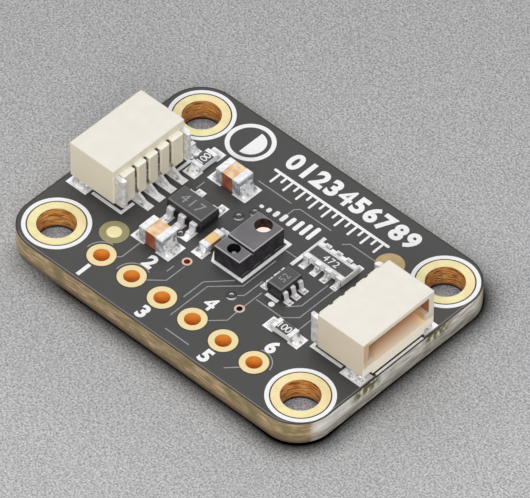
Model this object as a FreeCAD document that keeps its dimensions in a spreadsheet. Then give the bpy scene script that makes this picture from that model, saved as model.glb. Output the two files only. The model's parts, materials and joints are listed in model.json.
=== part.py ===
import FreeCAD, Part
import os
import Sketcher
from FreeCAD import Rotation
from FreeCAD import Vector

# Light sensor module: a small circuit board with four plated mounting holes,
# a row of six header holes, a side-entry socket at each end, a light sensor in
# the middle and the small parts that serve it.
#
# Frame: origin at the centre of the mounting-hole pattern on the underside of
# the board, X along the board towards the right-hand socket, Y away from the
# header row, Z up. All lengths are millimetres.

doc = FreeCAD.newDocument("light_sensor_module")
sheet = doc.addObject("Spreadsheet::Sheet", "Sizes")
up = Vector(0, 0, 1)


# A size carries its number together with the sheet formula that gives it, so
# that a drawing starts in the right place and stays bound to the sheet.

class Size:
    def __init__(self, formula, number):
        self.formula = formula
        self.number = float(number)

    def __add__(self, other):
        return joined(self, "+", other)

    def __sub__(self, other):
        return joined(self, "-", other)

    def __mul__(self, other):
        return joined(self, "*", other)

    def __truediv__(self, other):
        return joined(self, "/", other)

    def __neg__(self):
        return joined(as_size(-1), "*", self)


def as_size(amount):
    if isinstance(amount, Size):
        return amount
    return Size("(" + repr(float(amount)) + ")", amount)


def joined(first, sign, second):
    a = as_size(first)
    b = as_size(second)
    numbers = {
        "+": a.number + b.number,
        "-": a.number - b.number,
        "*": a.number * b.number,
        "/": a.number / b.number if b.number else 0.0,
    }
    return Size("(" + a.formula + " " + sign + " " + b.formula + ")", numbers[sign])


row = 0


def size(alias, number, note):
    global row
    row = row + 1
    sheet.set("A" + str(row), note)
    sheet.set("B" + str(row), str(number))
    sheet.setAlias("B" + str(row), alias)
    return Size("Sizes." + alias, number)


# Board

# All the holes sit on one grid. The mounting holes are 8 steps apart along X and
# 5 along Y, and the header row lies in line with the two front ones.

grid = size("grid", 2.54, "grid of the holes, and header holes apart")
header_count = 6
hole_span_x = grid * 8
hole_span_y = grid * 5

hole_edge_x = size("hole_edge_x", 2.39, "mounting holes from the short edges")
hole_edge_y = size("hole_edge_y", 2.48, "mounting holes from the long edges")
board_length = hole_span_x + hole_edge_x * 2
board_width = hole_span_y + hole_edge_y * 2
board_thickness = size("board_thickness", 1.6, "board with its lacquer")
board_shift_x = size("board_shift_x", -0.11, "board centre from the hole pattern, X")
board_shift_y = size("board_shift_y", -0.02, "board centre from the hole pattern, Y")
corner_radius = size("corner_radius", 2.5, "rounded corners of the board")
foil_thickness = size("foil_thickness", 0.02, "ring, dot and pad above the board")

hole_bore = size("hole_bore", 1.25, "radius of a mounting hole inside its plating")
hole_ring = size("hole_ring", 1.8, "radius of the gold ring of a mounting hole")
header_bore = size("header_bore", 0.52, "radius of a header hole inside its plating")
header_ring = size("header_ring", 0.91, "radius of the gold ring of a header hole")
plating = size("plating", 0.05, "plated wall of a mounting or header hole")

target_dot = size("target_dot", 0.48, "radius of the gold alignment dot")
target_edge_x = size("target_edge_x", 5.53, "alignment dot from the left edge")
target_edge_y = size("target_edge_y", 4.4, "alignment dot from the front edge")

# Printed outlines

print_thickness = size("print_thickness", 0.02, "printed ink")
print_ring_outer = size("print_ring_outer", 2.16, "printed ring round a mounting hole")
print_ring_inner = size("print_ring_inner", 1.89, "inside of the printed ring")
print_line = size("print_line", 0.22, "width of a printed line")
print_mouth = size("print_mouth", 0.16, "printed line in front of a mouth")
print_mouth_half = size("print_mouth_half", 2.05, "half the line in front of a mouth")
print_start = size("print_start", 0.61, "printed bracket behind the rear face")
print_reach = size("print_reach", 1.94, "printed bracket past the rear face")
print_inner = size("print_inner", 1.92, "inner end of the printed bracket")
frame_gap_left = size("frame_gap_left", 0.5, "printed frame from the sensor, left")
frame_gap_right = size("frame_gap_right", 0.41, "printed frame from the sensor, right")
frame_gap_front = size("frame_gap_front", 0.21, "printed frame from the sensor, front")
frame_gap_back = size("frame_gap_back", 0.31, "printed frame from the sensor, back")
frame_cut_x = size("frame_cut_x", 0.45, "cut corner of the printed frame along X")
frame_cut_y = size("frame_cut_y", 0.68, "cut corner of the printed frame along Y")
mark_bar = size("mark_bar", 0.26, "printed bar beside the transistor")
mark_dot = size("mark_dot", 0.2, "radius of the printed dot beside the transistor")
mark_gap = size("mark_gap", 0.53, "printed dot from the transistor")

# Soldered pads

pad_rise = foil_thickness
contact_pad_back = size("contact_pad_back", 0.84, "contact pad behind the rear face")
contact_pad_length = size("contact_pad_length", 1.48, "contact pad along X")
contact_pad_width = size("contact_pad_width", 0.56, "contact pad along Y")
bracket_pad_inset = size("bracket_pad_inset", 0.76, "middle of the bracket pad from the front")
bracket_pad_out = size("bracket_pad_out", 0.1, "bracket pad outside the plate")
bracket_pad_length = size("bracket_pad_length", 1.68, "bracket pad along X")
bracket_pad_width = size("bracket_pad_width", 1.18, "bracket pad along Y")
lead_pad_length = size("lead_pad_length", 1.0, "regulator pad along its lead")
lead_pad_margin = size("lead_pad_margin", 0.08, "pad beside a lead")
chip_pad = size("chip_pad", 0.8, "pad of a chip along its length")
chip_pad_margin = size("chip_pad_margin", 0.1, "pad beside a chip")
network_pad = size("network_pad", 0.62, "pad of the resistor network")
sensor_pad = size("sensor_pad", 0.6, "pad of the sensor")

# Side-entry sockets

socket_inset = size("socket_inset", 0.37, "mouth of a socket inside the short edge")
socket_depth = size("socket_depth", 3.72, "rear face to mouth")
socket_rear = board_length / 2 - socket_inset - socket_depth
socket_width = size("socket_width", 6.24, "width over the side walls")
socket_height = size("socket_height", 3.25, "top of a socket above the board")
socket_lift = size("socket_lift", 0.5, "underside of a socket above the board")
socket_round = size("socket_round", 0.08, "rounded edges of a socket")
socket_roof = size("socket_roof", 0.4, "wall over the mouth")
socket_floor = size("socket_floor", 0.6, "wall under the mouth")
socket_side = size("socket_side", 0.46, "side wall above the key ledge")
rear_wall = size("rear_wall", 0.62, "wall between the ribs and the mouth")
mouth_depth = socket_depth - rear_wall
key_ledge = size("key_ledge", 0.3, "width of the key ledge on each side wall")
key_height = size("key_height", 1.15, "room above the key ledge")

contact_pitch = size("contact_pitch", 1.0, "contacts apart")
contact_slot = size("contact_slot", 0.22, "slot between two ribs")
contact_play = size("contact_play", 0.02, "contact from the wall of its slot")
contact_reach = size("contact_reach", 1.42, "tail behind the rear face")
contact_tail = size("contact_tail", 0.12, "end of a tail above the board")
contact_root = size("contact_root", 0.84, "top of a tail at its riser above the board")
contact_beam = size("contact_beam", 0.26, "height of the beam in the mouth")
contact_beam_z = size("contact_beam_z", 1.62, "underside of the beam above the board")
contact_beam_inset = size("contact_beam_inset", 1.02, "tip of the beam inside the mouth")
contact_beam_x = socket_depth - contact_beam_inset
contact_top = size("contact_top", 2.3, "top of the blade above the board")
contact_count = 4

rib_depth = size("rib_depth", 0.4, "ribs behind the rear face")
rib_lift = size("rib_lift", 0.35, "underside of the ribs above the board")
comb_half = size("comb_half", 2.6, "half the width over the ribs")
rib_top = size("rib_top", 2.68, "top of the ribs above the board")
rib_bevel = size("rib_bevel", 0.07, "bevelled edges of a rib")

bracket_sheet = size("bracket_sheet", 0.2, "thickness of the bracket plate")
bracket_place = size("bracket_place", 2.76, "bracket plate from the middle of the socket")
bracket_play = size("bracket_play", 0.02, "bracket from the wall of its slot")
bracket_top = size("bracket_top", 1.25, "top of the plate above the board")
bracket_upright = size("bracket_upright", 0.36, "width of the upright behind the rear face")
bracket_back = size("bracket_back", 0.73, "upright behind the rear face")
bracket_foot_inset = size("bracket_foot_inset", 0.22, "foot from the front of the socket")
bracket_foot_length = size("bracket_foot_length", 1.25, "foot along X")
bracket_foot_end = socket_depth - bracket_foot_inset
bracket_foot_start = bracket_foot_end - bracket_foot_length
bracket_foot_out = size("bracket_foot_out", 0.5, "foot outside the plate")

# Light sensor

sensor_x = size("sensor_x", -0.09, "centre of the sensor, X")
sensor_y = size("sensor_y", -0.01, "centre of the sensor, Y")
sensor_length = size("sensor_length", 3.88, "sensor along Y")
sensor_width = size("sensor_width", 2.12, "sensor along X")
sensor_rows = 4
sensor_base_height = size("sensor_base_height", 0.3, "base plate of the sensor")
sensor_tall = size("sensor_tall", 1.37, "top of the emitter block above the board")
sensor_low = size("sensor_low", 1.31, "top of the detector block above the board")
sensor_low_length = size("sensor_low_length", 1.07, "detector block along Y")
sensor_groove = size("sensor_groove", 0.15, "groove between the blocks")
sensor_groove_deep = size("sensor_groove_deep", 0.25, "depth of the groove")
sensor_round = size("sensor_round", 0.08, "rounded edges of the blocks")
emitter_bore = size("emitter_bore", 0.575, "radius of the emitter well")
emitter_edge = size("emitter_edge", 0.67, "emitter well from the back face")
emitter_y = sensor_length / 2 - emitter_edge
emitter_glass = size("emitter_glass", 0.09, "clear layer in the emitter well")
detector_bore = size("detector_bore", 0.425, "radius of the detector well")
detector_edge = size("detector_edge", 0.62, "detector well from the front face")
detector_y = detector_edge - sensor_length / 2
detector_glass = size("detector_glass", 0.4, "clear layer in the detector well")
window_play = size("window_play", 0.01, "clear layer from the wall of its well")

# Small parts

regulator_x = size("regulator_x", -4.65, "centre of the regulator, X")
regulator_y = size("regulator_y", -0.15, "centre of the regulator, Y")
regulator_length = size("regulator_length", 2.9, "regulator body along X")
regulator_width = size("regulator_width", 1.6, "regulator body along Y")
regulator_top = size("regulator_top", 1.1, "regulator above the board")
regulator_parting = size("regulator_parting", 0.62, "parting line of the regulator")
regulator_pitch = size("regulator_pitch", 0.95, "regulator leads apart")
regulator_lead = size("regulator_lead", 0.46, "width of a regulator lead")
regulator_shoulder = size("regulator_shoulder", 0.24, "flat of a regulator lead")
regulator_reach = size("regulator_reach", 1.42, "end of a regulator lead from its centre")

transistor_x = size("transistor_x", 3.55, "centre of the double transistor, X")
transistor_y = size("transistor_y", -0.75, "centre of the double transistor, Y")
transistor_length = size("transistor_length", 1.85, "transistor body along Y")
transistor_width = size("transistor_width", 1.18, "transistor body along X")
transistor_top = size("transistor_top", 1.0, "transistor above the board")
transistor_parting = size("transistor_parting", 0.64, "parting line of the transistor")
transistor_pitch = size("transistor_pitch", 0.65, "transistor leads apart")
transistor_lead = size("transistor_lead", 0.27, "width of a transistor lead")
transistor_shoulder = size("transistor_shoulder", 0.2, "flat of a transistor lead")
transistor_reach = size("transistor_reach", 1.08, "end of a transistor lead")

package_gap = size("package_gap", 0.1, "underside of a moulded body above its pads")
package_draft = size("package_draft", 7.0, "draft of a moulded body in degrees")
package_bevel = size("package_bevel", 0.07, "bevel round the top of a moulded body")
lead_sheet = size("lead_sheet", 0.14, "thickness of a lead")
lead_slope = size("lead_slope", 0.1, "how far a lead slopes out on its way down")

capacitor_x = size("capacitor_x", -4.65, "both large capacitors, X")
capacitor_back_y = size("capacitor_back_y", 3.51, "back capacitor, Y")
capacitor_front_y = size("capacitor_front_y", -3.2, "front capacitor, Y")
capacitor_length = size("capacitor_length", 1.96, "large capacitor along X")
capacitor_width = size("capacitor_width", 1.34, "large capacitor along Y")
capacitor_height = size("capacitor_height", 1.2, "large capacitor")
capacitor_end = size("capacitor_end", 0.53, "metal end of a large capacitor")
capacitor_bevel = size("capacitor_bevel", 0.05, "bevelled edges of the metal ends")
small_x = size("small_x", -2.18, "small capacitor, X")
small_y = size("small_y", -1.05, "small capacitor, Y")
small_length = size("small_length", 1.62, "small capacitor along Y")
small_width = size("small_width", 0.72, "small capacitor along X")
small_height = size("small_height", 0.5, "small capacitor")
small_end = size("small_end", 0.36, "metal end of the small capacitor")
metal_wall = size("metal_wall", 0.03, "metal over the ceramic of a chip")

resistor_length = size("resistor_length", 1.56, "resistor with its ends")
resistor_width = size("resistor_width", 0.82, "resistor across")
resistor_height = size("resistor_height", 0.45, "resistor")
resistor_end = size("resistor_end", 0.3, "metal end of a resistor")
resistor_edge = size("resistor_edge", 0.03, "ceramic left bare beside the black glaze")
resistor_left_x = size("resistor_left_x", -7.2, "resistor behind the left socket, X")
resistor_left_y = size("resistor_left_y", 3.5, "resistor behind the left socket, Y")
resistor_right_x = size("resistor_right_x", 6.05, "resistor in front of the right socket, X")
resistor_right_y = size("resistor_right_y", -3.33, "resistor in front of the right socket, Y")
resistor_rear_x = size("resistor_rear_x", -9.24, "resistor beside the left socket, X")
resistor_rear_y = size("resistor_rear_y", 3.67, "resistor beside the left socket, Y")

network_x = size("network_x", 4.37, "resistor network, X")
network_y = size("network_y", 2.49, "resistor network, Y")
network_length = size("network_length", 3.2, "resistor network along X")
network_width = size("network_width", 1.6, "resistor network along Y")
network_height = size("network_height", 0.54, "resistor network")
network_end = size("network_end", 0.32, "depth of a terminal on the top")
network_terminal = size("network_terminal", 0.46, "width of a terminal")
network_inner = size("network_inner", 0.41, "inner terminals from the middle")
network_outer = size("network_outer", 1.31, "outer terminals from the middle")
network_notch = size("network_notch", 0.14, "depth of the notch between terminals")
network_glaze_x = size("network_glaze_x", 3.0, "black glaze along X")
network_glaze_y = size("network_glaze_y", 0.76, "black glaze along Y")


# Drawing helpers

def bind(target, path, amount):
    target.setExpression(path, as_size(amount).formula)


def origin_plane(body, role):
    for feature in body.Origin.OriginFeatures:
        if feature.Role == role:
            return feature
    return None


def new_body(label):
    body = doc.addObject("PartDesign::Body", label)
    body.Label = label
    return body


def sketch_on(body, role, name, offset):
    sketch = body.newObject("Sketcher::SketchObject", name)
    sketch.AttachmentSupport = [(origin_plane(body, role), "")]
    sketch.MapMode = "FlatFace"
    bind(sketch, "AttachmentOffset.Base.z", offset)
    return sketch


def fix_point(sketch, shape, point, x, y):
    for kind, amount in (("DistanceX", as_size(x)), ("DistanceY", as_size(y))):
        rule = Sketcher.Constraint(kind, -1, 1, shape, point, amount.number)
        index = sketch.addConstraint(rule)
        bind(sketch, "Constraints[" + str(index) + "]", amount)


def polygon(sketch, corners):
    first = sketch.GeometryCount
    count = len(corners)
    spots = []
    for x, y in corners:
        spots.append(Vector(as_size(x).number, as_size(y).number, 0))
    for index in range(count):
        line = Part.LineSegment(spots[index], spots[(index + 1) % count])
        sketch.addGeometry(line, False)
    for index in range(count):
        following = first + (index + 1) % count
        sketch.addConstraint(Sketcher.Constraint("Coincident", first + index, 2, following, 1))
        fix_point(sketch, first + index, 1, corners[index][0], corners[index][1])


def rectangle(sketch, x0, y0, x1, y1):
    polygon(sketch, [(x0, y0), (x1, y0), (x1, y1), (x0, y1)])


def circle(sketch, x, y, radius):
    index = sketch.GeometryCount
    centre = Vector(as_size(x).number, as_size(y).number, 0)
    sketch.addGeometry(Part.Circle(centre, up, as_size(radius).number), False)
    rule = sketch.addConstraint(Sketcher.Constraint("Radius", index, as_size(radius).number))
    bind(sketch, "Constraints[" + str(rule) + "]", radius)
    fix_point(sketch, index, 3, x, y)


def pad(body, sketch, length, name):
    feature = body.newObject("PartDesign::Pad", name)
    feature.Profile = sketch
    bind(feature, "Length", length)
    sketch.Visibility = False
    return feature


def pocket(body, sketch, length, name):
    feature = body.newObject("PartDesign::Pocket", name)
    feature.Profile = sketch
    bind(feature, "Length", length)
    return feature


def cut_through(body, sketch, name):
    feature = body.newObject("PartDesign::Pocket", name)
    feature.Profile = sketch
    feature.Type = "ThroughAll"
    feature.Midplane = True
    return feature


def repeat(body, feature, sketch, axis, length, count, name):
    pattern = body.newObject("PartDesign::LinearPattern", name)
    pattern.Originals = [feature]
    pattern.Direction = (sketch, [axis])
    bind(pattern, "Length", length)
    pattern.Occurrences = count
    body.Tip = pattern
    return pattern


def edges_where(feature, wanted):
    names = []
    for number, edge in enumerate(feature.Shape.Edges):
        if wanted(edge):
            names.append("Edge" + str(number + 1))
    return names


def dress(body, kind, feature, wanted, amount, name):
    doc.recompute()
    dressed = body.newObject("PartDesign::" + kind, name)
    dressed.Base = (feature, edges_where(feature, wanted))
    bind(dressed, "Radius" if kind == "Fillet" else "Size", amount)
    return dressed


def runs_along(edge, x, y, z):
    if edge.Degenerated or edge.Curve.TypeId != "Part::GeomLine":
        return False
    direction = edge.Curve.Direction
    return abs(abs(direction.dot(Vector(x, y, z))) - 1) < 1e-6


def place(target, x, y, z, turn=0):
    target.Placement.Rotation = Rotation(up, turn)
    bind(target, "Placement.Base.x", x)
    bind(target, "Placement.Base.y", y)
    bind(target, "Placement.Base.z", z)


def box(name, x, y, z, length, width, height):
    block = doc.addObject("Part::Box", name)
    bind(block, "Length", length)
    bind(block, "Width", width)
    bind(block, "Height", height)
    place(block, as_size(x) - as_size(length) / 2, as_size(y) - as_size(width) / 2, z)
    return block


def cylinder(name, x, y, z, radius, height):
    disc = doc.addObject("Part::Cylinder", name)
    bind(disc, "Radius", radius)
    bind(disc, "Height", height)
    place(disc, x, y, z)
    return disc


def gathered(label, pieces):
    group = doc.addObject("Part::MultiFuse", label)
    group.Shapes = pieces
    group.Label = label
    return group


def less(label, base, tool):
    cut = doc.addObject("Part::Cut", label)
    cut.Base = base
    cut.Tool = tool
    cut.Label = label
    return cut


parts = []


def keep(piece):
    parts.append(piece)
    return piece


# Where the holes are

mounting_holes = []
for side_x, side_y in ((-1, -1), (1, -1), (1, 1), (-1, 1)):
    mounting_holes.append((hole_span_x / 2 * side_x, hole_span_y / 2 * side_y))

header_first = -grid * (header_count - 1) / 2
header_length = grid * (header_count - 1)
header_row_y = -hole_span_y / 2

board_left = board_shift_x - board_length / 2
board_right = board_shift_x + board_length / 2
board_front = board_shift_y - board_width / 2
board_back = board_shift_y + board_width / 2


# The board: one slab with rounded corners, drilled for the plated holes

board = new_body("board_laminate")
outline = sketch_on(board, "XY_Plane", "board_outline", as_size(0))
rectangle(outline, board_left, board_front, board_right, board_back)
slab = pad(board, outline, board_thickness, "board_slab")
dress(board, "Fillet", slab, lambda edge: runs_along(edge, 0, 0, 1), corner_radius, "board_corners")
drilling = sketch_on(board, "XY_Plane", "board_mounting_holes", as_size(0))
for x, y in mounting_holes:
    circle(drilling, x, y, hole_bore + plating)
cut_through(board, drilling, "board_drilled")
first_hole = sketch_on(board, "XY_Plane", "board_first_header_hole", as_size(0))
circle(first_hole, header_first, header_row_y, header_bore + plating)
drilled = cut_through(board, first_hole, "board_first_header_drilled")
repeat(board, drilled, first_hole, "H_Axis", header_length, header_count, "board_header_row")
keep(board)


# Plated holes: a tube through the board with a ring on its component side

def eyelet(label, bore, ring, x, y):
    body = new_body(label)
    profile = sketch_on(body, "XZ_Plane", label + "_profile", as_size(0))
    tube = bore + plating
    high = board_thickness + foil_thickness
    polygon(profile, [
        (bore, as_size(0)), (tube, as_size(0)), (tube, board_thickness),
        (ring, board_thickness), (ring, high), (bore, high)])
    turned = body.newObject("PartDesign::Revolution", label + "_turned")
    turned.Profile = profile
    turned.ReferenceAxis = (profile, ["V_Axis"])
    turned.Angle = 360
    place(body, x, y, as_size(0))
    return body


for number, spot in enumerate(mounting_holes):
    keep(eyelet("mounting_eyelet_" + str(number + 1), hole_bore, hole_ring, spot[0], spot[1]))

for number in range(header_count):
    x = header_first + grid * number
    keep(eyelet("header_eyelet_" + str(number + 1), header_bore, header_ring, x, header_row_y))

keep(cylinder(
    "alignment_dot", board_left + target_edge_x, board_front + target_edge_y, board_thickness,
    target_dot, foil_thickness))

# Soldered pads: centre and size of each

socket_pads = []
for side in (-1, 1):
    for number in range(contact_count):
        y = contact_pitch * (number - (contact_count - 1) / 2)
        x = (socket_rear - contact_pad_back) * side
        socket_pads.append((x, y, contact_pad_length, contact_pad_width))
    for way in (-1, 1):
        x = (socket_rear + socket_depth - bracket_pad_inset) * side
        y = (bracket_place + bracket_pad_out) * way
        socket_pads.append((x, y, bracket_pad_length, bracket_pad_width))

chip_pads = []
lead_pad = regulator_lead + lead_pad_margin * 2
for way, numbers in ((-1, (-1, 0, 1)), (1, (-1, 1))):
    for number in numbers:
        x = regulator_x + regulator_pitch * number
        y = regulator_y + (regulator_reach - lead_sheet * 0.2) * way
        chip_pads.append((x, y, lead_pad, lead_pad_length))
for side in (-1, 1):
    for number in (-1, 0, 1):
        x = transistor_x + (transistor_reach - transistor_lead * 0.5) * side
        y = transistor_y + transistor_pitch * number
        chip_pads.append((x, y, transistor_lead * 2, transistor_lead + lead_pad_margin * 2))
for side in (-1, 1):
    for y in (capacitor_back_y, capacitor_front_y):
        x = capacitor_x + (capacitor_length / 2 + metal_wall * 2) * side
        chip_pads.append((x, y, chip_pad + 0.3, capacitor_width + chip_pad_margin * 2))
    y = small_y + (small_length / 2 + small_end / 2) * side
    chip_pads.append((small_x, y, small_width + chip_pad_margin * 2, chip_pad))
    y = resistor_left_y + (resistor_length / 2 + resistor_end * 0.8) * side
    chip_pads.append((resistor_left_x, y, resistor_width + chip_pad_margin * 2, chip_pad))
    x = resistor_right_x + (resistor_length / 2 + resistor_end * 0.8) * side
    chip_pads.append((x, resistor_right_y, chip_pad, resistor_width + chip_pad_margin * 2))
    x = resistor_rear_x + (resistor_length / 2 + resistor_end * 0.27) * side
    chip_pads.append((x, resistor_rear_y, chip_pad, resistor_width + chip_pad_margin))
    for across in (-network_outer, -network_inner, network_inner, network_outer):
        y = network_y + (network_width / 2 + network_end * 0.6) * side
        chip_pads.append((network_x + across, y, network_terminal, network_pad))
    for number in range(sensor_rows):
        x = sensor_x + (sensor_width - sensor_pad) / 2 * side
        y = sensor_y + sensor_length / sensor_rows * (number - (sensor_rows - 1) / 2)
        chip_pads.append((x, y, sensor_pad, sensor_pad))

pad_slabs = []
for label, places in (("solder_pads_sockets", socket_pads), ("solder_pads_chips", chip_pads)):
    slabs = []
    for number, spot in enumerate(places):
        x, y, length, width = spot
        name = label + "_" + str(number + 1)
        slabs.append(box(name, x, y, board_thickness, length, width, pad_rise))
    pad_slabs.append(keep(gathered(label, slabs)))

# Printed outlines: rings round the mounting holes, lines round the sockets,
# the sensor, the resistor network and the first lead of the transistor

ink = doc.addObject("Sketcher::SketchObject", "printed_lines")
bind(ink, "Placement.Base.z", board_thickness)
for x, y in mounting_holes:
    circle(ink, x, y, print_ring_outer)
    circle(ink, x, y, print_ring_inner)

line_far = socket_width / 2
line_near = line_far - print_line
line_start = socket_rear - print_start
for side in (-1, 1):
    for way in (-1, 1):
        polygon(ink, [
            (line_start * side, line_far * way),
            ((socket_rear + print_reach) * side, line_far * way),
            ((socket_rear + print_reach) * side, line_near * way),
            ((line_start + print_line) * side, line_near * way),
            ((line_start + print_line) * side, print_inner * way),
            (line_start * side, print_inner * way)])
    mouth_line = socket_rear + socket_depth
    rectangle(
        ink, mouth_line * side, -print_mouth_half,
        (mouth_line + print_mouth) * side, print_mouth_half)

frame_left = sensor_x - sensor_width / 2 - frame_gap_left
frame_right = sensor_x + sensor_width / 2 + frame_gap_right
frame_front = sensor_y - sensor_length / 2 - frame_gap_front
frame_back = sensor_y + sensor_length / 2 + frame_gap_back
polygon(ink, [
    (frame_left + frame_cut_x, frame_front), (frame_right, frame_front),
    (frame_right, frame_back), (frame_left, frame_back),
    (frame_left, frame_front + frame_cut_y)])
polygon(ink, [
    (frame_left + frame_cut_x + print_line * 0.5, frame_front + print_line),
    (frame_right - print_line, frame_front + print_line),
    (frame_right - print_line, frame_back - print_line),
    (frame_left + print_line, frame_back - print_line),
    (frame_left + print_line, frame_front + frame_cut_y + print_line * 0.35)])

network_left = network_x - network_length / 2 - print_line * 1.9
network_reach = network_width / 2 + network_pad * 1.15
rectangle(
    ink, network_left, network_y - network_reach,
    network_left + print_line * 1.15, network_y + network_reach)

mark_y = transistor_y - transistor_length / 2
rectangle(
    ink, transistor_x - transistor_width * 0.44, mark_y - mark_bar,
    transistor_x + transistor_width * 0.38, mark_y)
circle(ink, transistor_x + transistor_width * 0.26, mark_y - mark_gap, mark_dot)

inked = doc.addObject("Part::Extrusion", "printed_shapes")
inked.Base = ink
inked.DirMode = "Normal"
bind(inked, "LengthFwd", print_thickness)
inked.Solid = True

# No ink lies on a pad.

keep(less("printed_outlines", inked, gathered("pads_without_ink", pad_slabs)))

# Socket housing. Its own frame has X from the rear face to the mouth and its
# origin on the board surface. The comb of ribs behind the rear face guides the
# contacts; the mouth is wider above the key ledges than below them.

slab_height = socket_height - socket_lift
half_width = socket_width / 2
first_contact = -contact_pitch * (contact_count - 1) / 2
plate_low = bracket_place - bracket_sheet / 2
plate_high = bracket_place + bracket_sheet / 2


def socket_housing(label, side):
    body = new_body(label)
    plan = sketch_on(body, "XY_Plane", label + "_plan", socket_lift)
    rectangle(plan, as_size(0), -half_width, socket_depth, half_width)
    slab = pad(body, plan, slab_height, label + "_slab")
    top = socket_height.number

    def outer_edge(edge):
        if runs_along(edge, 0, 0, 1):
            return True
        return abs(edge.CenterOfMass.z - top) < 1e-6

    dress(body, "Fillet", slab, outer_edge, socket_round, label + "_rounded")

    comb = sketch_on(body, "XY_Plane", label + "_comb", rib_lift)
    rectangle(comb, -rib_depth, -comb_half, socket_round, comb_half)
    pad(body, comb, rib_top - rib_lift, label + "_comb_block")

    gap = sketch_on(body, "XY_Plane", label + "_gap", rib_top + 0.1)
    rectangle(
        gap, -rib_depth - 0.1, first_contact - contact_slot / 2,
        as_size(0), first_contact + contact_slot / 2)
    opened = pocket(body, gap, rib_top + 0.1, label + "_first_gap")
    ribs = repeat(
        body, opened, gap, "V_Axis", contact_pitch * (contact_count - 1), contact_count,
        label + "_gaps")

    back = -rib_depth.number

    def rib_edge(edge):
        return runs_along(edge, 0, 0, 1) and abs(edge.CenterOfMass.x - back) < 1e-6

    dress(body, "Chamfer", ribs, rib_edge, rib_bevel, label + "_rib_bevels")

    passage = sketch_on(body, "XY_Plane", label + "_passage", contact_top + 0.05)
    rectangle(
        passage, -as_size(0.05), first_contact - contact_slot / 2,
        rear_wall + 0.1, first_contact + contact_slot / 2)
    bored = pocket(body, passage, contact_top + 0.1, label + "_first_passage")
    repeat(
        body, bored, passage, "V_Axis", contact_pitch * (contact_count - 1), contact_count,
        label + "_passages")

    mouth = sketch_on(body, "YZ_Plane", label + "_mouth", socket_depth)
    wide = half_width - socket_side
    narrow = wide - key_ledge
    floor = socket_lift + socket_floor
    roof = socket_height - socket_roof
    ledge = roof - key_height
    polygon(mouth, [
        (-narrow, floor), (narrow, floor), (narrow, ledge), (wide, ledge),
        (wide, roof), (-wide, roof), (-wide, ledge), (-narrow, ledge)])
    pocket(body, mouth, mouth_depth, label + "_mouth_cut")

    grooves = sketch_on(body, "XY_Plane", label + "_grooves", bracket_top + bracket_play)
    for way in (-1, 1):
        rectangle(
            grooves, -as_size(0.1), (plate_low - bracket_play) * way,
            bracket_foot_end + bracket_play, (plate_high + bracket_play) * way)
    pocket(body, grooves, bracket_top + 0.1, label + "_bracket_grooves")
    place(body, socket_rear * side, as_size(0), board_thickness, 0 if side > 0 else 180)
    return body


# Contact: one stamped blade with its tail on the pad, its riser between two
# ribs and its beam in the mouth

def socket_contact(label, side, number):
    body = new_body(label)
    blade = sketch_on(body, "XZ_Plane", label + "_blade", as_size(0))
    riser_back = -rib_depth + 0.1
    riser_front = rear_wall - 0.25
    polygon(blade, [
        (-contact_reach, pad_rise), (-as_size(0.08), pad_rise),
        (-as_size(0.08), contact_beam_z), (contact_beam_x, contact_beam_z),
        (contact_beam_x, contact_beam_z + contact_beam), (riser_front, contact_beam_z + contact_beam),
        (riser_front, contact_top), (riser_back, contact_top),
        (riser_back, contact_root), (-contact_reach, contact_tail)])
    sheet_metal = pad(body, blade, contact_slot - contact_play * 2, label + "_sheet")
    sheet_metal.Midplane = True
    y = contact_pitch * (number - (contact_count - 1) / 2)
    place(body, socket_rear * side, y, board_thickness, 0 if side > 0 else 180)
    return body


# Bracket: a plate in the side wall with an upright behind the rear face and a
# foot soldered to the board

def socket_bracket(label, side, way):
    body = new_body(label)
    plate = sketch_on(body, "XZ_Plane", label + "_plate", -bracket_place * way)
    seat = bracket_play
    polygon(plate, [
        (-bracket_back, socket_lift), (bracket_foot_start, socket_lift),
        (bracket_foot_start, pad_rise), (bracket_foot_end, pad_rise),
        (bracket_foot_end, bracket_top), (-seat, bracket_top),
        (-seat, rib_top), (-bracket_back, rib_top)])
    sheet_metal = pad(body, plate, bracket_sheet, label + "_sheet")
    sheet_metal.Midplane = True
    upright = sketch_on(body, "XY_Plane", label + "_upright", socket_lift)
    inner = plate_low
    outer = plate_low + bracket_upright
    polygon(upright, [
        (-bracket_back, inner * way), (-seat, inner * way), (-seat, outer * way),
        (-bracket_back + 0.16, outer * way), (-bracket_back, (outer - 0.14) * way)])
    pad(body, upright, rib_top - socket_lift, label + "_upright_block")
    foot = sketch_on(body, "XY_Plane", label + "_foot", pad_rise)
    toe = plate_low + bracket_foot_out
    rectangle(foot, bracket_foot_start, inner * way, bracket_foot_end, toe * way)
    pad(body, foot, bracket_sheet, label + "_foot_block")
    place(body, socket_rear * side, as_size(0), board_thickness, 0 if side > 0 else 180)
    return body


for name, side in (("socket_left", -1), ("socket_right", 1)):
    keep(socket_housing(name + "_housing", side))
    for number in range(contact_count):
        keep(socket_contact(name + "_contact_" + str(number + 1), side, number))
    keep(socket_bracket(name + "_bracket_front", side, -1 * side))
    keep(socket_bracket(name + "_bracket_back", side, 1 * side))

# Light sensor: a base plate that carries an emitter block and a detector block
# with a light-tight groove between them, each with a round well

base_bottom = board_thickness + pad_rise
base_top = sensor_base_height
sensor_base = box(
    "sensor_base", sensor_x, sensor_y, base_bottom, sensor_width, sensor_length,
    sensor_base_height - pad_rise)
keep(sensor_base)

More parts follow.
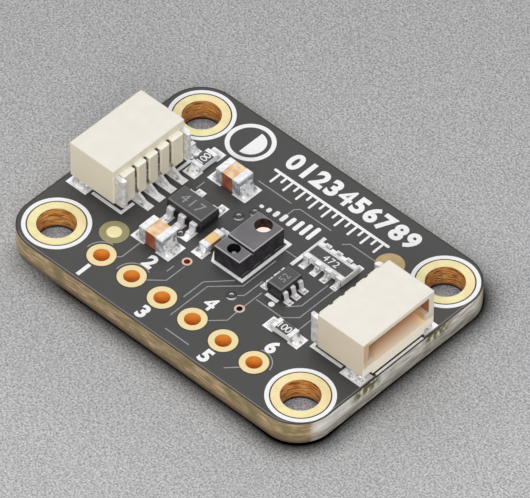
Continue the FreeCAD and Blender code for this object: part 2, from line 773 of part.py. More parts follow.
shell = new_body("sensor_shell")
half_long = sensor_length / 2
half_across = sensor_width / 2
split = -half_long + sensor_low_length
foundation = sketch_on(shell, "XY_Plane", "shell_foundation", base_top)
rectangle(foundation, -half_across, -half_long, half_across, half_long)
low_block = pad(shell, foundation, sensor_low - base_top, "shell_low_block")
step = sketch_on(shell, "XY_Plane", "shell_step", base_top)
rectangle(step, -half_across, split, half_across, half_long)
tall_block = pad(shell, step, sensor_tall - base_top, "shell_tall_block")
trench = sketch_on(shell, "XY_Plane", "shell_trench", sensor_tall + 0.1)
rectangle(trench, -half_across - 0.1, split, half_across + 0.1, split + sensor_groove)
grooved = pocket(shell, trench, sensor_groove_deep + 0.1, "shell_groove")
shell_tops = (sensor_low.number, sensor_tall.number)


def shell_rim(edge):
    if edge.Degenerated or edge.Curve.TypeId != "Part::GeomLine":
        return False
    return min(abs(edge.CenterOfMass.z - top) for top in shell_tops) < 1e-6


dress(shell, "Fillet", grooved, shell_rim, sensor_round, "shell_rim")
wells = sketch_on(shell, "XY_Plane", "shell_wells", sensor_tall + 0.1)
circle(wells, as_size(0), emitter_y, emitter_bore)
circle(wells, as_size(0), detector_y, detector_bore)
pocket(shell, wells, sensor_tall + 0.1, "shell_well_cut")
place(shell, sensor_x, sensor_y, board_thickness)
keep(shell)

window_z = board_thickness + base_top
keep(cylinder(
    "sensor_emitter_window", sensor_x, sensor_y + emitter_y, window_z,
    emitter_bore - window_play, emitter_glass))
keep(cylinder(
    "sensor_detector_window", sensor_x, sensor_y + detector_y, window_z,
    detector_bore - window_play, detector_glass))


# Moulded packages with bent leads. Their own frame has the leads on the two
# long sides, which face -Y and +Y.

def moulded_body(label, x, y, turn, length, width, parting, height):
    body = new_body(label)
    low = pad_rise + package_gap
    upper = sketch_on(body, "XY_Plane", label + "_upper", parting)
    rectangle(upper, -length / 2, -width / 2, length / 2, width / 2)
    upper_half = pad(body, upper, height - parting, label + "_upper_half")
    bind(upper_half, "TaperAngle", -package_draft)
    top = height.number

    def rim(edge):
        return abs(edge.CenterOfMass.z - top) < 1e-6

    dress(body, "Chamfer", upper_half, rim, package_bevel, label + "_bevel")
    lower = sketch_on(body, "XY_Plane", label + "_lower", parting)
    rectangle(lower, -length / 2, -width / 2, length / 2, width / 2)
    lower_half = pad(body, lower, parting - low, label + "_lower_half")
    lower_half.Reversed = True
    bind(lower_half, "TaperAngle", -package_draft)
    place(body, x, y, board_thickness, turn)
    return body


def bent_leads(label, x, y, turn, width, parting, pitch, lead, shoulder, reach, front, back):
    body = new_body(label)
    side = width / 2
    knee = side + shoulder
    heel = knee + lead_slope
    half = lead_sheet / 2
    under = lead_sheet * 0.8
    rows = ((-1, front, "front"), (1, back, "back"))
    for way, count, name in rows:
        start = -pitch if count > 1 else as_size(0)
        profile = sketch_on(body, "YZ_Plane", label + "_" + name, start)
        polygon(profile, [
            (side * way, parting + half), (knee * way, parting + half),
            (heel * way, pad_rise + lead_sheet), (reach * way, pad_rise + lead_sheet),
            (reach * way, pad_rise), ((heel - under) * way, pad_rise),
            ((knee - under) * way, parting - half), (side * way, parting - half)])
        bent = pad(body, profile, lead, label + "_" + name + "_lead")
        bent.Midplane = True
        if count > 1:
            repeat(body, bent, profile, "N_Axis", pitch * 2, count, label + "_" + name + "_row")
    place(body, x, y, board_thickness, turn)
    return body


keep(moulded_body(
    "regulator_body", regulator_x, regulator_y, 0, regulator_length, regulator_width,
    regulator_parting, regulator_top))
keep(bent_leads(
    "regulator_leads", regulator_x, regulator_y, 0, regulator_width, regulator_parting,
    regulator_pitch, regulator_lead, regulator_shoulder, regulator_reach, 3, 2))
keep(moulded_body(
    "transistor_body", transistor_x, transistor_y, 90, transistor_length, transistor_width,
    transistor_parting, transistor_top))
keep(bent_leads(
    "transistor_leads", transistor_x, transistor_y, 90, transistor_width, transistor_parting,
    transistor_pitch, transistor_lead, transistor_shoulder, transistor_reach, 3, 3))


# Ceramic capacitor: a ceramic block whose metal ends wrap all five faces

def metal_ends(label, x, y, turn, length, width, height, end, bevel):
    body = new_body(label)
    plan = sketch_on(body, "XY_Plane", label + "_plan", pad_rise)
    rectangle(plan, -length / 2, -width / 2, length / 2, width / 2)
    block = pad(body, plan, height, label + "_block")
    if bevel is not None:
        dress(body, "Chamfer", block, lambda edge: True, bevel, label + "_bevelled")
    middle = sketch_on(body, "XY_Plane", label + "_middle", pad_rise + height + 0.1)
    rectangle(middle, -length / 2 + end, -width / 2 - 0.1, length / 2 - end, width / 2 + 0.1)
    pocket(body, middle, height + 0.3, label + "_parted")
    place(body, x, y, board_thickness, turn)
    return body


def core_block(label, x, y, turn, length, width, height, bottom):
    body = new_body(label)
    plan = sketch_on(body, "XY_Plane", label + "_plan", bottom)
    rectangle(plan, -length / 2, -width / 2, length / 2, width / 2)
    pad(body, plan, height, label + "_block")
    place(body, x, y, board_thickness, turn)
    return body


def capacitor(name, x, y, turn, length, width, height, end):
    wall = metal_wall * 2
    core = core_block(
        name + "_ceramic", x, y, turn, length - wall, width - wall, height - wall,
        pad_rise + metal_wall)
    keep(core)
    ends = metal_ends(name + "_ends_solid", x, y, turn, length, width, height, end, capacitor_bevel)
    keep(less(name + "_ends", ends, core))


capacitor(
    "capacitor_back", capacitor_x, capacitor_back_y, 0,
    capacitor_length, capacitor_width, capacitor_height, capacitor_end)
capacitor(
    "capacitor_front", capacitor_x, capacitor_front_y, 0,
    capacitor_length, capacitor_width, capacitor_height, capacitor_end)
capacitor(
    "capacitor_small", small_x, small_y, 90,
    small_length, small_width, small_height, small_end)


# Chip resistor: a ceramic slip with a black glaze on top and metal ends that
# wrap the top, the end and the underside

def resistor(name, x, y, turn):
    wall = metal_wall * 2
    core = core_block(
        name + "_ceramic", x, y, turn, resistor_length - wall, resistor_width,
        resistor_height - wall, pad_rise + metal_wall)
    keep(core)
    ends = metal_ends(
        name + "_ends_solid", x, y, turn, resistor_length, resistor_width, resistor_height,
        resistor_end, None)
    keep(less(name + "_ends", ends, core))
    keep(core_block(
        name + "_glaze", x, y, turn, resistor_length - resistor_end * 2,
        resistor_width - resistor_edge * 2, metal_wall, pad_rise + resistor_height - metal_wall))


resistor("resistor_left", resistor_left_x, resistor_left_y, 90)
resistor("resistor_right", resistor_right_x, resistor_right_y, 0)
resistor("resistor_rear", resistor_rear_x, resistor_rear_y, 0)

# Resistor network: four resistors in one slip, with notches in its long sides
# between the terminals

network = new_body("network_ceramic")
half_slip = network_width / 2 - metal_wall
slip = sketch_on(network, "XY_Plane", "network_slip", pad_rise + metal_wall)
rectangle(slip, -network_length / 2, -half_slip, network_length / 2, half_slip)
pad(network, slip, network_height - metal_wall * 2, "network_block")
notches = sketch_on(network, "XY_Plane", "network_notches", pad_rise)
half_terminal = network_terminal / 2
for way in (-1, 1):
    for left, right in (
            (-network_outer + half_terminal, -network_inner - half_terminal),
            (-network_inner + half_terminal, network_inner - half_terminal),
            (network_inner + half_terminal, network_outer - half_terminal)):
        rectangle(notches, left, (half_slip - network_notch) * way, right, (half_slip + 0.1) * way)
cut_through(network, notches, "network_notched")
place(network, network_x, network_y, board_thickness)
keep(network)

terminals = new_body("network_terminals_solid")
spots = sketch_on(terminals, "XY_Plane", "network_terminal_plan", pad_rise)
for way in (-1, 1):
    for across in (-network_outer, -network_inner, network_inner, network_outer):
        rectangle(
            spots, across - half_terminal, (network_width / 2 - network_end) * way,
            across + half_terminal, network_width / 2 * way)
pad(terminals, spots, network_height, "network_terminal_blocks")
place(terminals, network_x, network_y, board_thickness)
keep(less("network_terminals", terminals, network))
keep(core_block(
    "network_glaze", network_x, network_y, 0, network_glaze_x, network_glaze_y, metal_wall,
    pad_rise + network_height - metal_wall))

# Every object must have computed, and every kept shape must be sound, before
# anything is written.

doc.recompute()
for item in doc.Objects:
    if "Invalid" in item.State or "Error" in item.State:
        raise RuntimeError("not computed: " + item.Label + " " + str(item.State))
for piece in parts:
    shape = piece.Shape
    if shape.isNull() or not shape.isValid() or not shape.Solids:
        raise RuntimeError("no sound solid: " + piece.Label)

os.makedirs("parts", exist_ok=True)
for piece in parts:
    piece.Shape.exportStep("parts/" + piece.Label + ".step")
print(len(parts), "parts written")
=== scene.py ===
# %% [markdown]
# A light sensor module is a circuit board the size of a stamp. Its solids come
# from the CAD model: the board, the plated holes, the two sockets, the sensor and
# the chips. They could be modelled again in Blender, but loading them keeps every
# size right, so this script only gives them their finishes and adds what is too
# fine for CAD: solder, tracks, vias, print and the strips under the sockets.

import json
import math

import bmesh
import bpy
from mathutils import Matrix, Vector


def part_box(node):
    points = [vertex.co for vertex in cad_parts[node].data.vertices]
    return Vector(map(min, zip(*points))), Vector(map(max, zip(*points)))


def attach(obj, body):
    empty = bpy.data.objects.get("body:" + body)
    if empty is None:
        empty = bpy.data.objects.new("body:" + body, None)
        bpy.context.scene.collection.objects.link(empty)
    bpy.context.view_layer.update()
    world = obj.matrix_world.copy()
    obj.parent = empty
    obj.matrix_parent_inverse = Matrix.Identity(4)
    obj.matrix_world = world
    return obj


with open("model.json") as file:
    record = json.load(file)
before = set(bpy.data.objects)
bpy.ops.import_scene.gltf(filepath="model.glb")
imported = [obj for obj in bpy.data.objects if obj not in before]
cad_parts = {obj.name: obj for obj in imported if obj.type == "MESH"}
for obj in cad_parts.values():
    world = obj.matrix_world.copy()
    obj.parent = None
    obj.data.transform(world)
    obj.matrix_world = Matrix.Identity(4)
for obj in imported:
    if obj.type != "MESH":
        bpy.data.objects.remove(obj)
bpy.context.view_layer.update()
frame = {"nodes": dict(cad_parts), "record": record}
nodes = frame["nodes"]
mm = 0.001

# %% [markdown]
# The camera of the photograph stood far away with a long lens, in front of the
# board and to its right. A camera can be placed by eye, but here its angles were
# worked out from the hole grid, so the script writes them down as they are.

# %% Camera
azimuth = math.radians(43.25072)
elevation = math.radians(46.71118)
roll = math.radians(0.30874)
sideways, upwards, backwards = 0.893551, 0.217222, 411.8579
back = Vector((
    math.sin(azimuth) * math.cos(elevation),
    -math.cos(azimuth) * math.cos(elevation),
    math.sin(elevation)))
level = Vector((math.cos(azimuth), math.sin(azimuth), 0))
above = back.cross(level)
right = level * math.cos(roll) + above * math.sin(roll)
up = above * math.cos(roll) - level * math.sin(roll)
spot = Vector((0, 0, 1.6)) + right * sideways + up * upwards + back * backwards
bpy.ops.object.camera_add()
camera = bpy.context.object
turned = Matrix((right, up, back)).transposed().to_4x4()
camera.matrix_world = Matrix.Translation(spot * mm) @ turned
camera.data.sensor_fit = "HORIZONTAL"
camera.data.sensor_width = 36
camera.data.lens = 463.19
bpy.context.scene.camera = camera
bpy.context.scene.view_settings.view_transform = "Standard"
print("camera at", [round(v, 4) for v in camera.location])

# %% [markdown]
# The photograph was lit by a wide soft lamp above and a little behind the left end,
# with a smaller one in front. A sky texture would bring colour of its own, so a
# plain even world gives the light from around, one large square lamp lights the
# tops and a small one the faces that look towards the camera.

# %% Light
world = bpy.data.worlds.new("even light")
world.use_nodes = True
world.node_tree.nodes["Background"].inputs["Color"].default_value = (1.0, 1.0, 1.0, 1)
world.node_tree.nodes["Background"].inputs["Strength"].default_value = 0.36
bpy.context.scene.world = world


def square_lamp(name, way, far, size, energy, colour):
    way = Vector(way).normalized()
    bpy.ops.object.light_add(type="AREA", location=way * far)
    lamp = bpy.context.object
    lamp.name = name
    lamp.data.shape = "SQUARE"
    lamp.data.size = size
    lamp.data.energy = energy
    lamp.data.color = colour
    lamp.rotation_mode = "QUATERNION"
    lamp.rotation_quaternion = way.to_track_quat("Z", "Y")
    print(name, "at", [round(v, 3) for v in lamp.location])


square_lamp("main lamp", (-0.36, 0.24, 0.9), 0.5, 0.5, 1.36, (1.0, 1.0, 1.0))
square_lamp("front lamp", (0.6, -0.72, 0.65), 0.3, 0.14, 0.38, (1.0, 0.985, 0.965))

# %% [markdown]
# In the node editor a socket is set by typing a value or by pulling a link to it.
# Wiring each node line by line would bury what it is for, so these helpers do one
# everyday job each: fill the inputs, a sum, a ramp from nought to one, a mix of two
# colours and a distance.

# %% Wiring helpers
def fill(tree, node, values):
    for label, value in values.items():
        if isinstance(value, bpy.types.NodeSocket):
            tree.links.new(value, node.inputs[label])
        else:
            node.inputs[label].default_value = value


def math_step(tree, operation, *values):
    node = tree.nodes.new("ShaderNodeMath")
    node.operation = operation
    fill(tree, node, dict(enumerate(values)))
    return node.outputs[0]


def ramp(tree, value, nought, one):
    node = tree.nodes.new("ShaderNodeMapRange")
    fill(tree, node, {"Value": value, "From Min": nought, "From Max": one})
    return node.outputs["Result"]


def mix(tree, share, first, second):
    node = tree.nodes.new("ShaderNodeMix")
    node.data_type = "RGBA"
    fill(tree, node, {"Factor": share, "A": first, "B": second})
    return node.outputs["Result"]


def distance(tree, across, along):
    squares = [math_step(tree, "MULTIPLY", way, way) for way in (across, along)]
    return math_step(tree, "SQRT", math_step(tree, "ADD", *squares))


print("wiring helpers", [f.__name__ for f in (fill, math_step, ramp, mix, distance)])

# %% [markdown]
# Many finishes share the same few effects: a fine speckle in a moulding, streaks
# in drilled copper. Each effect could be wired again in every material, but a node
# group is made once and takes its own values wherever it is placed.

# %% Speckle and streaks
def new_effect(name, inputs, outputs):
    group = bpy.data.node_groups.new(name, "ShaderNodeTree")
    for label, kind, value in inputs:
        socket = group.interface.new_socket(label, in_out="INPUT", socket_type="NodeSocket" + kind)
        socket.default_value = value
    for label, kind in outputs:
        group.interface.new_socket(label, in_out="OUTPUT", socket_type="NodeSocket" + kind)
    return group, group.nodes.new("NodeGroupInput"), group.nodes.new("NodeGroupOutput")


def noise_effect(name, stretch):
    group, start, end = new_effect(name, [
        ("Place", "Vector", (0, 0, 0)),
        ("Colour", "Color", (0.5, 0.5, 0.5, 1)),
        ("Second colour", "Color", (0.4, 0.4, 0.4, 1)),
        ("Per millimetre", "Float", 10.0),
        ("Share", "Float", 0.5),
        ("Softness", "Float", 0.25),
        ("Roughness", "Float", 0.5),
        ("Roughness swing", "Float", 0.1)], [
        ("Colour", "Color"),
        ("Roughness", "Float"),
        ("Height", "Float")])
    given = start.outputs
    in_mm = group.nodes.new("ShaderNodeMapping")
    scale = tuple(s / mm for s in stretch)
    fill(group, in_mm, {"Vector": given["Place"], "Scale": scale})
    noise = group.nodes.new("ShaderNodeTexNoise")
    fill(group, noise, {
        "Vector": in_mm.outputs["Vector"], "Scale": given["Per millimetre"], "Detail": 3.0})
    grain = noise.outputs["Fac"]
    low = math_step(group, "SUBTRACT", given["Share"], given["Softness"])
    high = math_step(group, "ADD", given["Share"], given["Softness"])
    part = ramp(group, grain, low, high)
    colour = mix(group, part, given["Colour"], given["Second colour"])
    roughness = math_step(
        group, "MULTIPLY_ADD", part, given["Roughness swing"], given["Roughness"])
    fill(group, end, {"Colour": colour, "Roughness": roughness, "Height": grain})
    return group


speckle = noise_effect("speckle", (1, 1, 1))
level_streaks = noise_effect("level streaks", (1, 1, 9))
print("noise effects", [g.name for g in bpy.data.node_groups])

# %% [markdown]
# A moulding is tinted warmer on its sides as painted light through it, chips get
# painted highlights on their rims, and the sensor's wells are round spots. A picture
# painted over each piece could say where, but the surface's own tilt and place do it
# on every piece alike.

# %% Tilt and round spot
facing, start, end = new_effect(
    "facing", [("Normal", "Vector", (0, 0, 1))],
    [(label, "Float") for label in ("Side", "Rim", "Right", "Left", "Towards front")])
tilt = facing.nodes.new("ShaderNodeSeparateXYZ")
facing.links.new(start.outputs["Normal"], tilt.inputs[0])
tilt_x, tilt_y, tilt_z = tilt.outputs
not_side, not_top = ramp(facing, tilt_z, 0.1, 0.35), ramp(facing, tilt_z, 0.985, 0.93)
towards = math_step(facing, "SUBTRACT", tilt_x, tilt_y)
fill(facing, end, {
    "Side": ramp(facing, math_step(facing, "ABSOLUTE", tilt_z), 0.6, 0.35),
    "Rim": math_step(facing, "MULTIPLY", not_side, not_top),
    "Right": ramp(facing, tilt_x, 0.86, 0.97),
    "Left": ramp(facing, tilt_x, -0.2, -0.55),
    "Towards front": ramp(facing, towards, 0.3, 0.8)})

round_spot, start, end = new_effect(
    "round spot", [("Place", "Vector", (0, 0, 0)),
                   ("Middle X", "Float", 0.0),
                   ("Middle Y", "Float", 0.0),
                   ("Radius", "Float", 1.0)], [("Mask", "Float")])
parts = round_spot.nodes.new("ShaderNodeSeparateXYZ")
round_spot.links.new(start.outputs["Place"], parts.inputs[0])
off_middle = []
for axis in "XY":
    at = math_step(round_spot, "DIVIDE", parts.outputs[axis], mm)
    off_middle.append(math_step(round_spot, "SUBTRACT", at, start.outputs[f"Middle {axis}"]))
left_over = math_step(
    round_spot, "SUBTRACT", start.outputs["Radius"], distance(round_spot, *off_middle))
fill(round_spot, end, {"Mask": ramp(round_spot, left_over, 0.0, 0.01)})
print("effects", [g.name for g in bpy.data.node_groups])

# %% [markdown]
# Every finish is a Principled BSDF with an effect group on its colour, roughness
# and height. Colours are noted as they look on a screen, so a small function turns
# them into the linear numbers that Blender works with.

# %% Finish helper
def on_screen(colour):
    def linear(value):
        value = value / 255
        return value / 12.92 if value <= 0.04045 else ((value + 0.055) / 1.055) ** 2.4
    return tuple(linear(value) for value in colour) + (1,)


def placed(tree, effect):
    place = tree.nodes.new("ShaderNodeTexCoord")
    node = tree.nodes.new("ShaderNodeGroup")
    node.node_tree = effect
    fill(tree, node, {"Place": place.outputs["Object"]})
    return node


def finish(name, effect, colour, second, per_mm, roughness, swing=0.1, share=0.5,
           softness=0.25, height=0.002, metallic=0.0, specular=0.5):
    material = bpy.data.materials.new(name)
    material.use_nodes = True
    tree = material.node_tree
    look = placed(tree, effect)
    look.name = "look"
    fill(tree, look, {
        "Colour": on_screen(colour), "Second colour": on_screen(second),
        "Per millimetre": per_mm, "Share": share, "Softness": softness,
        "Roughness": roughness, "Roughness swing": swing})
    bump = tree.nodes.new("ShaderNodeBump")
    fill(tree, bump, {"Distance": height * mm, "Height": look.outputs["Height"]})
    fill(tree, tree.nodes["Principled BSDF"], {
        "Base Color": look.outputs["Colour"], "Roughness": look.outputs["Roughness"],
        "Normal": bump.outputs["Normal"], "Metallic": metallic,
        "Specular IOR Level": specular})
    return material


print("screen grey 128 is linear", round(on_screen((128, 128, 128))[0], 3))

# %% [markdown]
# The board carries white print, solder, tinned sheet and pads, cream sockets, black
# mouldings and three kinds of ceramic. Ready-made materials would look like none of
# them under this lamp, so each gets two close colours and a grain of its own.

# %% Finishes of the solids
white_ink = finish(
    "white ink", speckle, (252, 252, 253), (244, 244, 246), 9, 0.6, specular=0.3)
solder = finish(
    "solder", speckle, (255, 255, 255), (158, 157, 161), 4.0, 0.3, 0.2,
    share=0.57, softness=0.07, height=0.025, metallic=0.25)
tinned = finish(
    "tinned metal", speckle, (255, 255, 255), (206, 205, 209), 3.5, 0.35, 0.15,
    softness=0.18, height=0.006, metallic=0.2)
bare_pad = finish(
    "tinned pad", speckle, (255, 254, 255), (232, 230, 234), 9, 0.4, 0.15,
    height=0.004, metallic=0.2)
chip_metal = finish(
    "chip end metal", speckle, (246, 247, 249), (218, 219, 222), 4, 0.4, 0.2,
    height=0.008, metallic=0.3)
cream = finish(
    "cream moulding", speckle, (242, 238, 228), (238, 232, 221), 1.2, 0.45, height=0.001)
# The sensor's grey stands partly for painted sheen on its top; its sides get painted shade further
# down.
sensor_black = finish(
    "sensor moulding", speckle, (106, 105, 109), (128, 126, 128), 0.9, 0.55, specular=0.12)
chip_black = finish(
    "package moulding", speckle, (60, 59, 61), (78, 77, 79), 12, 0.45, height=0.003)
glaze_black = finish("black glaze", speckle, (60, 60, 63), (76, 76, 79), 10, 0.45)
white_ceramic = finish("white ceramic", speckle, (232, 231, 230), (210, 210, 210), 8, 0.5)
tan_ceramic = finish(
    "tan ceramic", speckle, (246, 220, 184), (228, 172, 116), 1.6, 0.45, softness=0.12)
yellow_ceramic = finish(
    "yellow ceramic", speckle, (244, 216, 140), (244, 190, 146), 1.6, 0.45)
print("finishes", len(bpy.data.materials))

# %% [markdown]
# Many parts look different where they face another way or lie deeper, mostly as
# painted light and shade. Several slots on one solid could do that, but a tint over
# the first colour, wherever a mask is one, needs no cutting. A tint is one colour, or
# two with a grain of their own.

# %% Tints
def two_tone(material, mask, colour, second=None, per_mm=1.0, softness=0.18, effect=speckle):
    tree = material.node_tree
    tint = on_screen(colour)
    if second:
        other = placed(tree, effect)
        fill(tree, other, {
            "Colour": tint, "Second colour": on_screen(second),
            "Per millimetre": per_mm, "Softness": softness})
        tint = other.outputs["Colour"]
    base = tree.nodes["Principled BSDF"].inputs["Base Color"]
    tree.links.new(mix(tree, mask, base.links[0].from_socket, tint), base)


def glow(material, colour, strength):
    fill(material.node_tree, material.node_tree.nodes["Principled BSDF"], {
        "Emission Color": colour, "Emission Strength": strength})


print("tints by", [f.__name__ for f in (two_tone, glow)])

# %% [markdown]
# A mask can be painted, but then every piece needs an unwrapped picture. Here it
# comes from the tilt, a round spot, a grain or a span, and masks are multiplied.
# A span says, in millimetres, where the mask is nought and where it is one;
# "off X" counts from the middle of the board to both sides.

# %% Masks
def tilt_mask(material, part):
    tree = material.node_tree
    place = tree.nodes.new("ShaderNodeTexCoord")
    tilted = tree.nodes.new("ShaderNodeGroup")
    tilted.node_tree = facing
    fill(tree, tilted, {"Normal": place.outputs["Normal"]})
    return tilted.outputs[part]


def spot_mask(material, x, y, radius):
    spot = placed(material.node_tree, round_spot)
    fill(material.node_tree, spot, {"Middle X": x, "Middle Y": y, "Radius": radius})
    return spot.outputs["Mask"]


def patches(material, effect, per_mm, nought, one):
    other = placed(material.node_tree, effect)
    fill(material.node_tree, other, {"Per millimetre": per_mm})
    return ramp(material.node_tree, other.outputs["Height"], nought, one)


def place_parts(tree):
    place = tree.nodes.new("ShaderNodeTexCoord")
    split = tree.nodes.new("ShaderNodeSeparateXYZ")
    tree.links.new(place.outputs["Object"], split.inputs[0])
    return split.outputs


def both(material, first, second):
    return math_step(material.node_tree, "MULTIPLY", first, second)


def within(material, *spans, mask=None):
    tree = material.node_tree
    for axis, nought, one in spans:
        value = place_parts(tree)[axis[-1]]
        if axis.startswith("off"):
            value = math_step(tree, "ABSOLUTE", value)
        span = ramp(tree, value, nought * mm, one * mm)
        mask = span if mask is None else both(material, mask, span)
    return mask


print("masks from", [f.__name__ for f in (tilt_mask, spot_mask, patches, within)])

# %% [markdown]
# A socket's moulding glows warm where light has gone through it and lies in shade
# deep in the mouth and between the ribs. A subsurface shader would need many samples
# in walls this thin, so this light and shade are painted as tints, from the mouth's
# edge inwards, with painted highlights on the rib tops and the lip.

# %% Tints of the socket moulding
cream_side = tilt_mask(cream, "Side")
inside = within(
    cream, ("off Y", 2.8, 2.7), ("Z", 4.6, 4.5), ("Z", 2.6, 2.65), ("off X", 9.0, 9.05))
front_frame = within(cream, ("off X", 12.13, 12.17))
lip = within(cream, ("Z", 2.8, 2.6), mask=front_frame)
upper_frame = within(cream, ("Z", 2.8, 3.4), ("Z", 4.84, 4.7), mask=front_frame)
# Painted light and shade: warm light through the sides, lip and front frame, highlights on the rib
# tops, shade on the right socket's sides, deep in the mouth, on the jamb, between the ribs and
# under the roof.
cream_light_and_shade = {
    "sides": (cream_side, (250, 242, 219)),
    "sides of the right socket": (
        within(cream, ("X", 8.0, 8.1), mask=cream_side), (238, 226, 204)),
    "between the ribs": (
        within(cream, ("off X", 8.12, 8.4), ("off X", 8.52, 8.48), ("Z", 4.27, 4.2),
               ("off Y", 2.58, 2.54)), (112, 92, 70)),
    "rib tops": (
        within(cream, ("off X", 8.56, 8.5), ("Z", 4.2, 4.25), ("Z", 4.35, 4.3)),
        (255, 255, 242)),
    "mouth": (within(cream, ("off X", 12.2, 11.2), mask=inside), (222, 172, 132)),
    "deep mouth": (within(cream, ("off X", 11.5, 10.8), mask=inside), (212, 160, 122)),
    "upper mouth": (
        within(cream, ("Z", 3.5, 4.3), ("off X", 12.14, 11.9), mask=inside),
        (180, 132, 96)),
    "end walls": (
        within(cream, ("off Y", 2.62, 2.65), ("off X", 12.17, 12.1), mask=inside),
        (164, 108, 70)),
    "low end walls": (
        within(cream, ("off Y", 2.33, 2.35), ("off Y", 2.4, 2.38), ("Z", 3.29, 3.24),
               ("off X", 12.15, 11.9), mask=inside), (206, 172, 122)),
    "lip": (lip, (255, 252, 240)),
    "upper frame": (upper_frame, (254, 242, 220)),
    "front jamb": (within(cream, ("Y", -2.2, -2.7), mask=upper_frame), (228, 192, 158)),
    "line under the roof": (
        within(cream, ("Z", 4.56, 4.52), ("Z", 4.36, 4.4), ("off Y", 2.64, 2.6),
               mask=front_frame), (150, 112, 86))}
for mask, colour in cream_light_and_shade.values():
    two_tone(cream, mask, colour)
print("cream tints", list(cream_light_and_shade))

# %% [markdown]
# The thin cream walls let some light through, so the floor of the mouth and its lip
# are brighter than a closed box would be. A lamp inside would light the contacts
# too; a weak glow of the moulding itself stays where it belongs.

# %% Light through the thin walls
glow_colour = (132, 108, 78)
lip_share = 0.6
tree = cream.node_tree
mouth_floor = within(cream, ("Z", 2.8, 2.75), ("off X", 10.9, 12.0), mask=inside)
shining = math_step(
    tree, "MAXIMUM", mouth_floor, math_step(tree, "MULTIPLY", lip, lip_share))
glow(cream, mix(tree, shining, (0, 0, 0, 1), on_screen(glow_colour)), 1.0)
print("glow of the mouth", glow_colour)

# %% [markdown]
# The tips of the tails get a painted highlight, the sheet in the gaps between the
# ribs is painted dark with the shadow of the moulding, and a chip's metal ends are
# painted greyer and mottled on their sides as shade. New materials for so little
# would cut the solids up.

# %% Tints of the metals
for metal in (solder, tinned):
    # Painted highlight on the tips of the tails.
    tail_tip_highlight = within(
        metal, ("off X", 7.4, 7.2), ("off X", 6.8, 6.86), ("off Y", 2.0, 1.96))
    two_tone(metal, tail_tip_highlight, (255, 255, 255))
# Painted shadow of the moulding on the sheet between the ribs.
in_rib_gap = within(tinned, ("Z", 2.15, 2.35), ("off Y", 2.5, 2.45), ("off X", 7.9, 7.95))
two_tone(tinned, in_rib_gap, (176, 166, 152), (74, 62, 50), 5.0, 0.08)
# Painted shade: the sides of the metal ends are greyer and mottled.
two_tone(
    chip_metal, tilt_mask(chip_metal, "Side"), (238, 243, 248), (164, 170, 176), 2.6, 0.12)
print("tinted", solder.name, tinned.name, chip_metal.name)

# %% [markdown]
# Black mouldings get painted highlights on their rims and painted shade on their
# sides, and the sensor's two wells are painted dark inside as shade, with paler brown
# specks as painted glints in the emitter well. The ceramics get painted shade on
# their sides, darker and redder, and the white one painted light. Tilt and round
# spots tell these faces apart.

# %% Tints of the sensor and the chips
emitter_x, emitter_y, emitter_radius = -0.09, 1.26, 0.585
detector_x, detector_y, detector_radius = -0.09, -1.33, 0.435
# Painted shade on the sensor's sides and a painted highlight on its rims.
two_tone(sensor_black, tilt_mask(sensor_black, "Side"), (64, 61, 65), (46, 44, 47), 2.0, 0.12)
two_tone(sensor_black, tilt_mask(sensor_black, "Rim"), (186, 183, 187))
# Painted shade in both wells, with paler brown specks as painted glints in the emitter well.
emitter_well = both(
    sensor_black, spot_mask(sensor_black, emitter_x, emitter_y, emitter_radius),
    within(sensor_black, ("Z", 2.968, 2.96)))
two_tone(sensor_black, emitter_well, (16, 10, 8), (72, 48, 34), 3.4, 0.1)
detector_well = both(
    sensor_black, spot_mask(sensor_black, detector_x, detector_y, detector_radius),
    within(sensor_black, ("Z", 2.908, 2.9)))
two_tone(sensor_black, detector_well, (20, 19, 20))
# Painted shade on the sides of the black packages and painted highlights on their rims.
two_tone(chip_black, tilt_mask(chip_black, "Side"), (34, 33, 35))
two_tone(chip_black, tilt_mask(chip_black, "Rim"), (128, 126, 130))
# Painted shade on the sides of the tan and yellow ceramics, painted light on the sides of the
# white one.
two_tone(tan_ceramic, tilt_mask(tan_ceramic, "Side"), (196, 128, 90), (160, 84, 62), 1.8, 0.1)
two_tone(yellow_ceramic, tilt_mask(yellow_ceramic, "Side"), (176, 116, 60))
two_tone(white_ceramic, tilt_mask(white_ceramic, "Side"), (250, 249, 247))
print("wells", emitter_radius, "and", detector_radius, "mm in radius")

# %% [markdown]
# A plated hole is gold on the ring above the board and streaky copper in its bore,
# where the drill has left fine level marks; pale patches on the copper are painted
# glints, and a dark band at the foot of the bore is painted shadow. The bore is
# nearly matt here, since a mirror in a deep hole would only show the dark inside of
# the hole again.

# %% Gold rings and copper bores
pale_gold = (242, 222, 168)
on_top = ("Z", 1.596, 1.6)
plating = finish(
    "plated mounting hole", level_streaks, (244, 178, 86), (146, 60, 2), 1.5, 0.3, 0.2,
    softness=0.08, share=0.54, height=0.04, metallic=0.1)
# Painted glints: pale patches on the streaky copper.
two_tone(plating, patches(plating, level_streaks, 1.6, 0.6, 0.64), (255, 226, 156))
# Painted shadow at the foot of the bore.
two_tone(plating, within(plating, ("Z", 0.26, 0.1)), (48, 24, 8))
two_tone(plating, within(plating, on_top), (236, 228, 168), (242, 218, 168), 0.5)
header_plating = finish(
    "plated header hole", level_streaks, (255, 196, 92), (255, 156, 46), 3.2, 0.4,
    height=0.02)
two_tone(header_plating, within(header_plating, on_top), pale_gold)
gold = finish(
    "gold dot", speckle, (252, 242, 194), (246, 230, 168), 6, 0.45, metallic=0.2)
print("plating", plating.name, header_plating.name, gold.name)

# %% [markdown]
# The board is glass cloth and resin under black lacquer, and the lacquer stops a
# hair inside the sawn edge. A second solid could carry the edge, but a mask does
# it: the distance from the rounded outline tells bare laminate from lacquer.

# %% Distance from the outline
board_low, board_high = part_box("board_laminate")
board_middle = (board_low + board_high) / 2
board_half = (board_high - board_low) / 2
board_corner = 2.5 * mm


